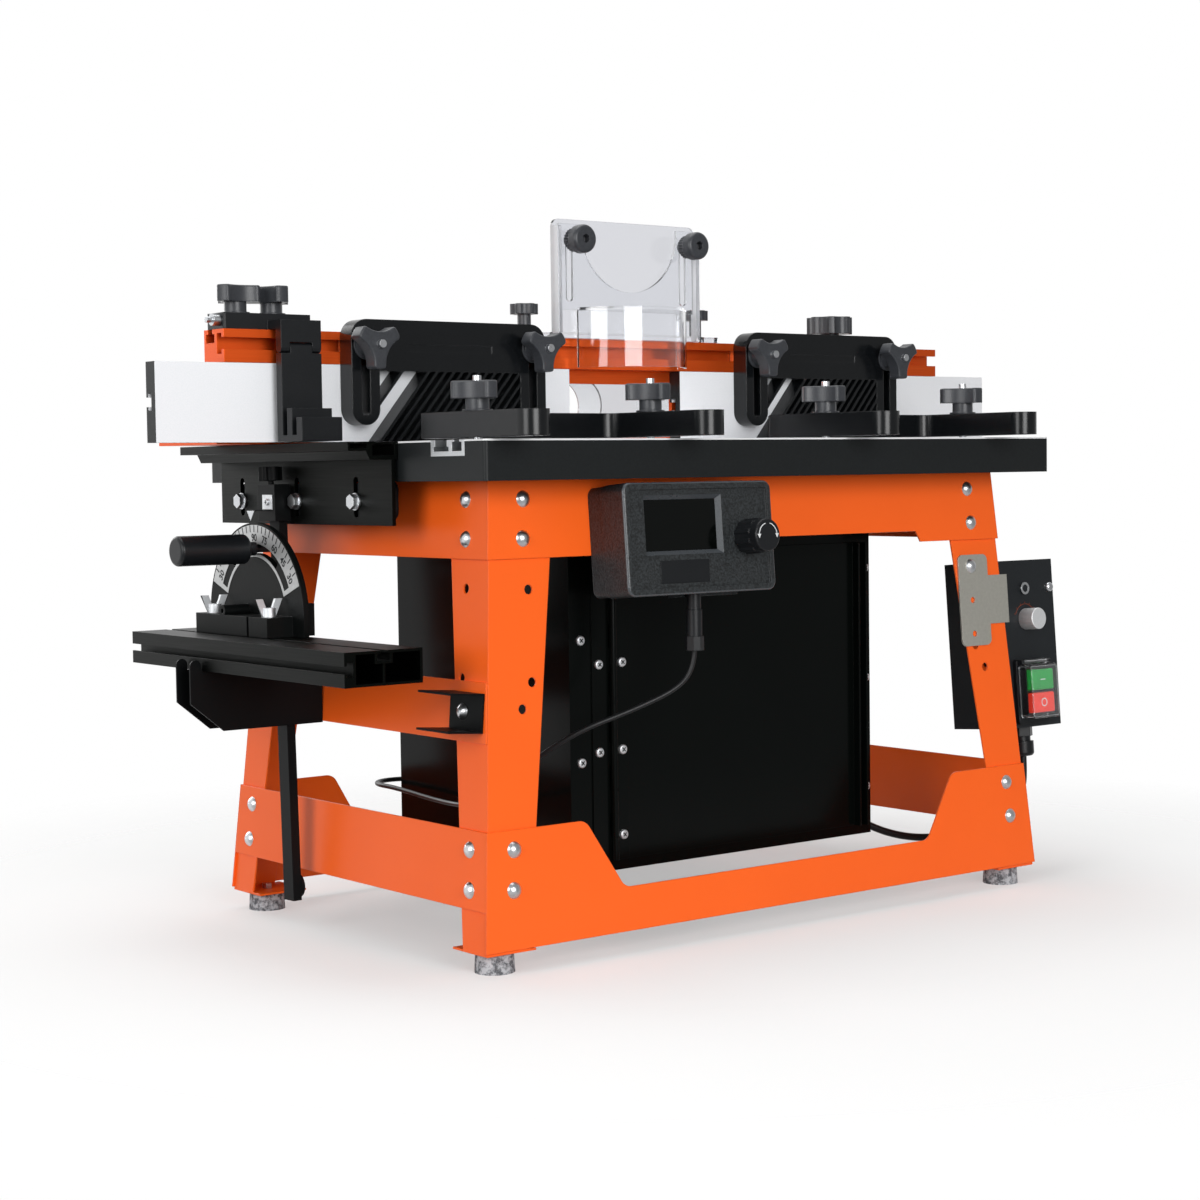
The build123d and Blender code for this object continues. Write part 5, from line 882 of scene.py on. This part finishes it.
def number_marks(name, numbers, material, body):
    """Numbers joined into one piece on a body."""
    build = bmesh.new()
    for number in numbers:
        build.from_mesh(number)
    mesh = bpy.data.meshes.new(name)
    build.to_mesh(mesh)
    build.free()
    mesh.materials.clear()
    mesh.materials.append(material)
    made = add_object(name, mesh)
    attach(made, body)
    return made


# Etched aluminium of the scale: pale grey and dull
scale_metal = plated_steel("etched_scale_aluminium", "C9CACA", "B2B3B3", roughness=0.5)

# Black printing ink of its marks: a matt film
scale_ink = moulded_plastic("black_printing_ink", "17181A", "202224",
                            roughness=0.6, grain=0.0008, relief=0.00001, edge=0.0001, gleam=0.3)
face_right = Vector((0, -1, 0))
face_up = Vector((0, 0, 1))
face_out = Vector((-1, 0, 0))

# The scale is a broad band outside the head's slot, a narrow one inside it, and the two ends between them
scale_pieces = [
    arc_outline(radius=82.6, width=18.8, start=21, end=159),
    arc_outline(radius=61.6, width=3.2, start=25, end=155),
    arc_outline(radius=66.6, width=13.2, start=21, end=25),
    arc_outline(radius=66.6, width=13.2, start=155, end=159),
]
scale_thick = 0.0003
tick_radius = 0.0882
tick_length = 0.007
tick_width = 0.0012
tick_step = 5
number_radius = 0.0788
number_height = 0.0074
number_step = 15
first_tick = 30
last_tick = 150
flat_marks("gauge_scale", scale_pieces, pivot, face_right, face_up, scale_thick, scale_metal, "stand")
gauge_ticks = []
gauge_numbers = []
for turn_degrees in range(first_tick, last_tick + 1, tick_step):
    turn = math.radians(turn_degrees)
    outwards = face_right * math.cos(turn) + face_up * math.sin(turn)
    gauge_ticks.append((pivot + outwards * tick_radius + face_out * scale_thick, face_out, outwards))
    if turn_degrees % number_step == 0:
        reading = min(turn_degrees, 180 - turn_degrees)
        number_place = pivot + outwards * number_radius + face_out * scale_thick
        gauge_numbers.append(digits(str(reading), number_height, number_place, outwards.cross(face_out),
                                    outwards, scale_thick))
lay_bars("gauge_ticks", gauge_ticks, (tick_length, tick_width, scale_thick), scale_ink, "stand")
number_marks("gauge_numbers", gauge_numbers, scale_ink, "stand")

# Pointer: a blackened tab on the bar's block, with a bright tip over the scale
pointer_place = at(-46, 344, -66)
pointer_half = 7.5
pointer_drop = 10
pointer_thick = 0.0006
tab_length = 18
tab_thick = 0.0008
pointer_outline = [(-pointer_half, 0), (0, -pointer_drop), (pointer_half, 0)]
tab_outline = oblong(-pointer_half, 0, pointer_half, tab_length)
flat_marks("gauge_pointer", [pointer_outline], pointer_place, face_right, face_up, pointer_thick,
           zinc_plate, "gauge_bar")
flat_marks("gauge_pointer_tab", [tab_outline], pointer_place, face_right, -face_out, tab_thick,
           smooth_plastic, "gauge_bar")

# Clip: a plate of spring steel over the tab, under one pan screw
clip_place = at(-28.2, 341, -57.5)
clip_thick = 0.0008
clip_screw_radius = 3.4
clip_screw_high = 0.0018
clip_recess = (0.0044, 0.0009, 0.0004)
clip_recess_out = 0.0025
clip_sides = 16
clip_turns = [step * 2 * math.pi / clip_sides for step in range(clip_sides)]
clip_head = [(clip_screw_radius * math.cos(turn), clip_screw_radius * math.sin(turn))
             for turn in clip_turns]
clip_outline = oblong(left=-9.5, low=-7.4, right=9.5, high=7.4)
flat_marks("gauge_clip", [clip_outline], clip_place, face_right, face_up, clip_thick,
           satin_zinc, "gauge_bar")
flat_marks("gauge_clip_screw", [clip_head], clip_place + face_out * clip_thick, face_right, face_up,
           clip_screw_high, zinc_plate, "gauge_bar")
# The clip screw's cross recess is painted shade: a thin dark cross on its head
lay_bars("gauge_clip_recess",
         [(clip_place + face_out * clip_recess_out, face_out, lying) for lying in (face_right, face_up)],
         clip_recess, recess_painted_shade, "gauge_bar")
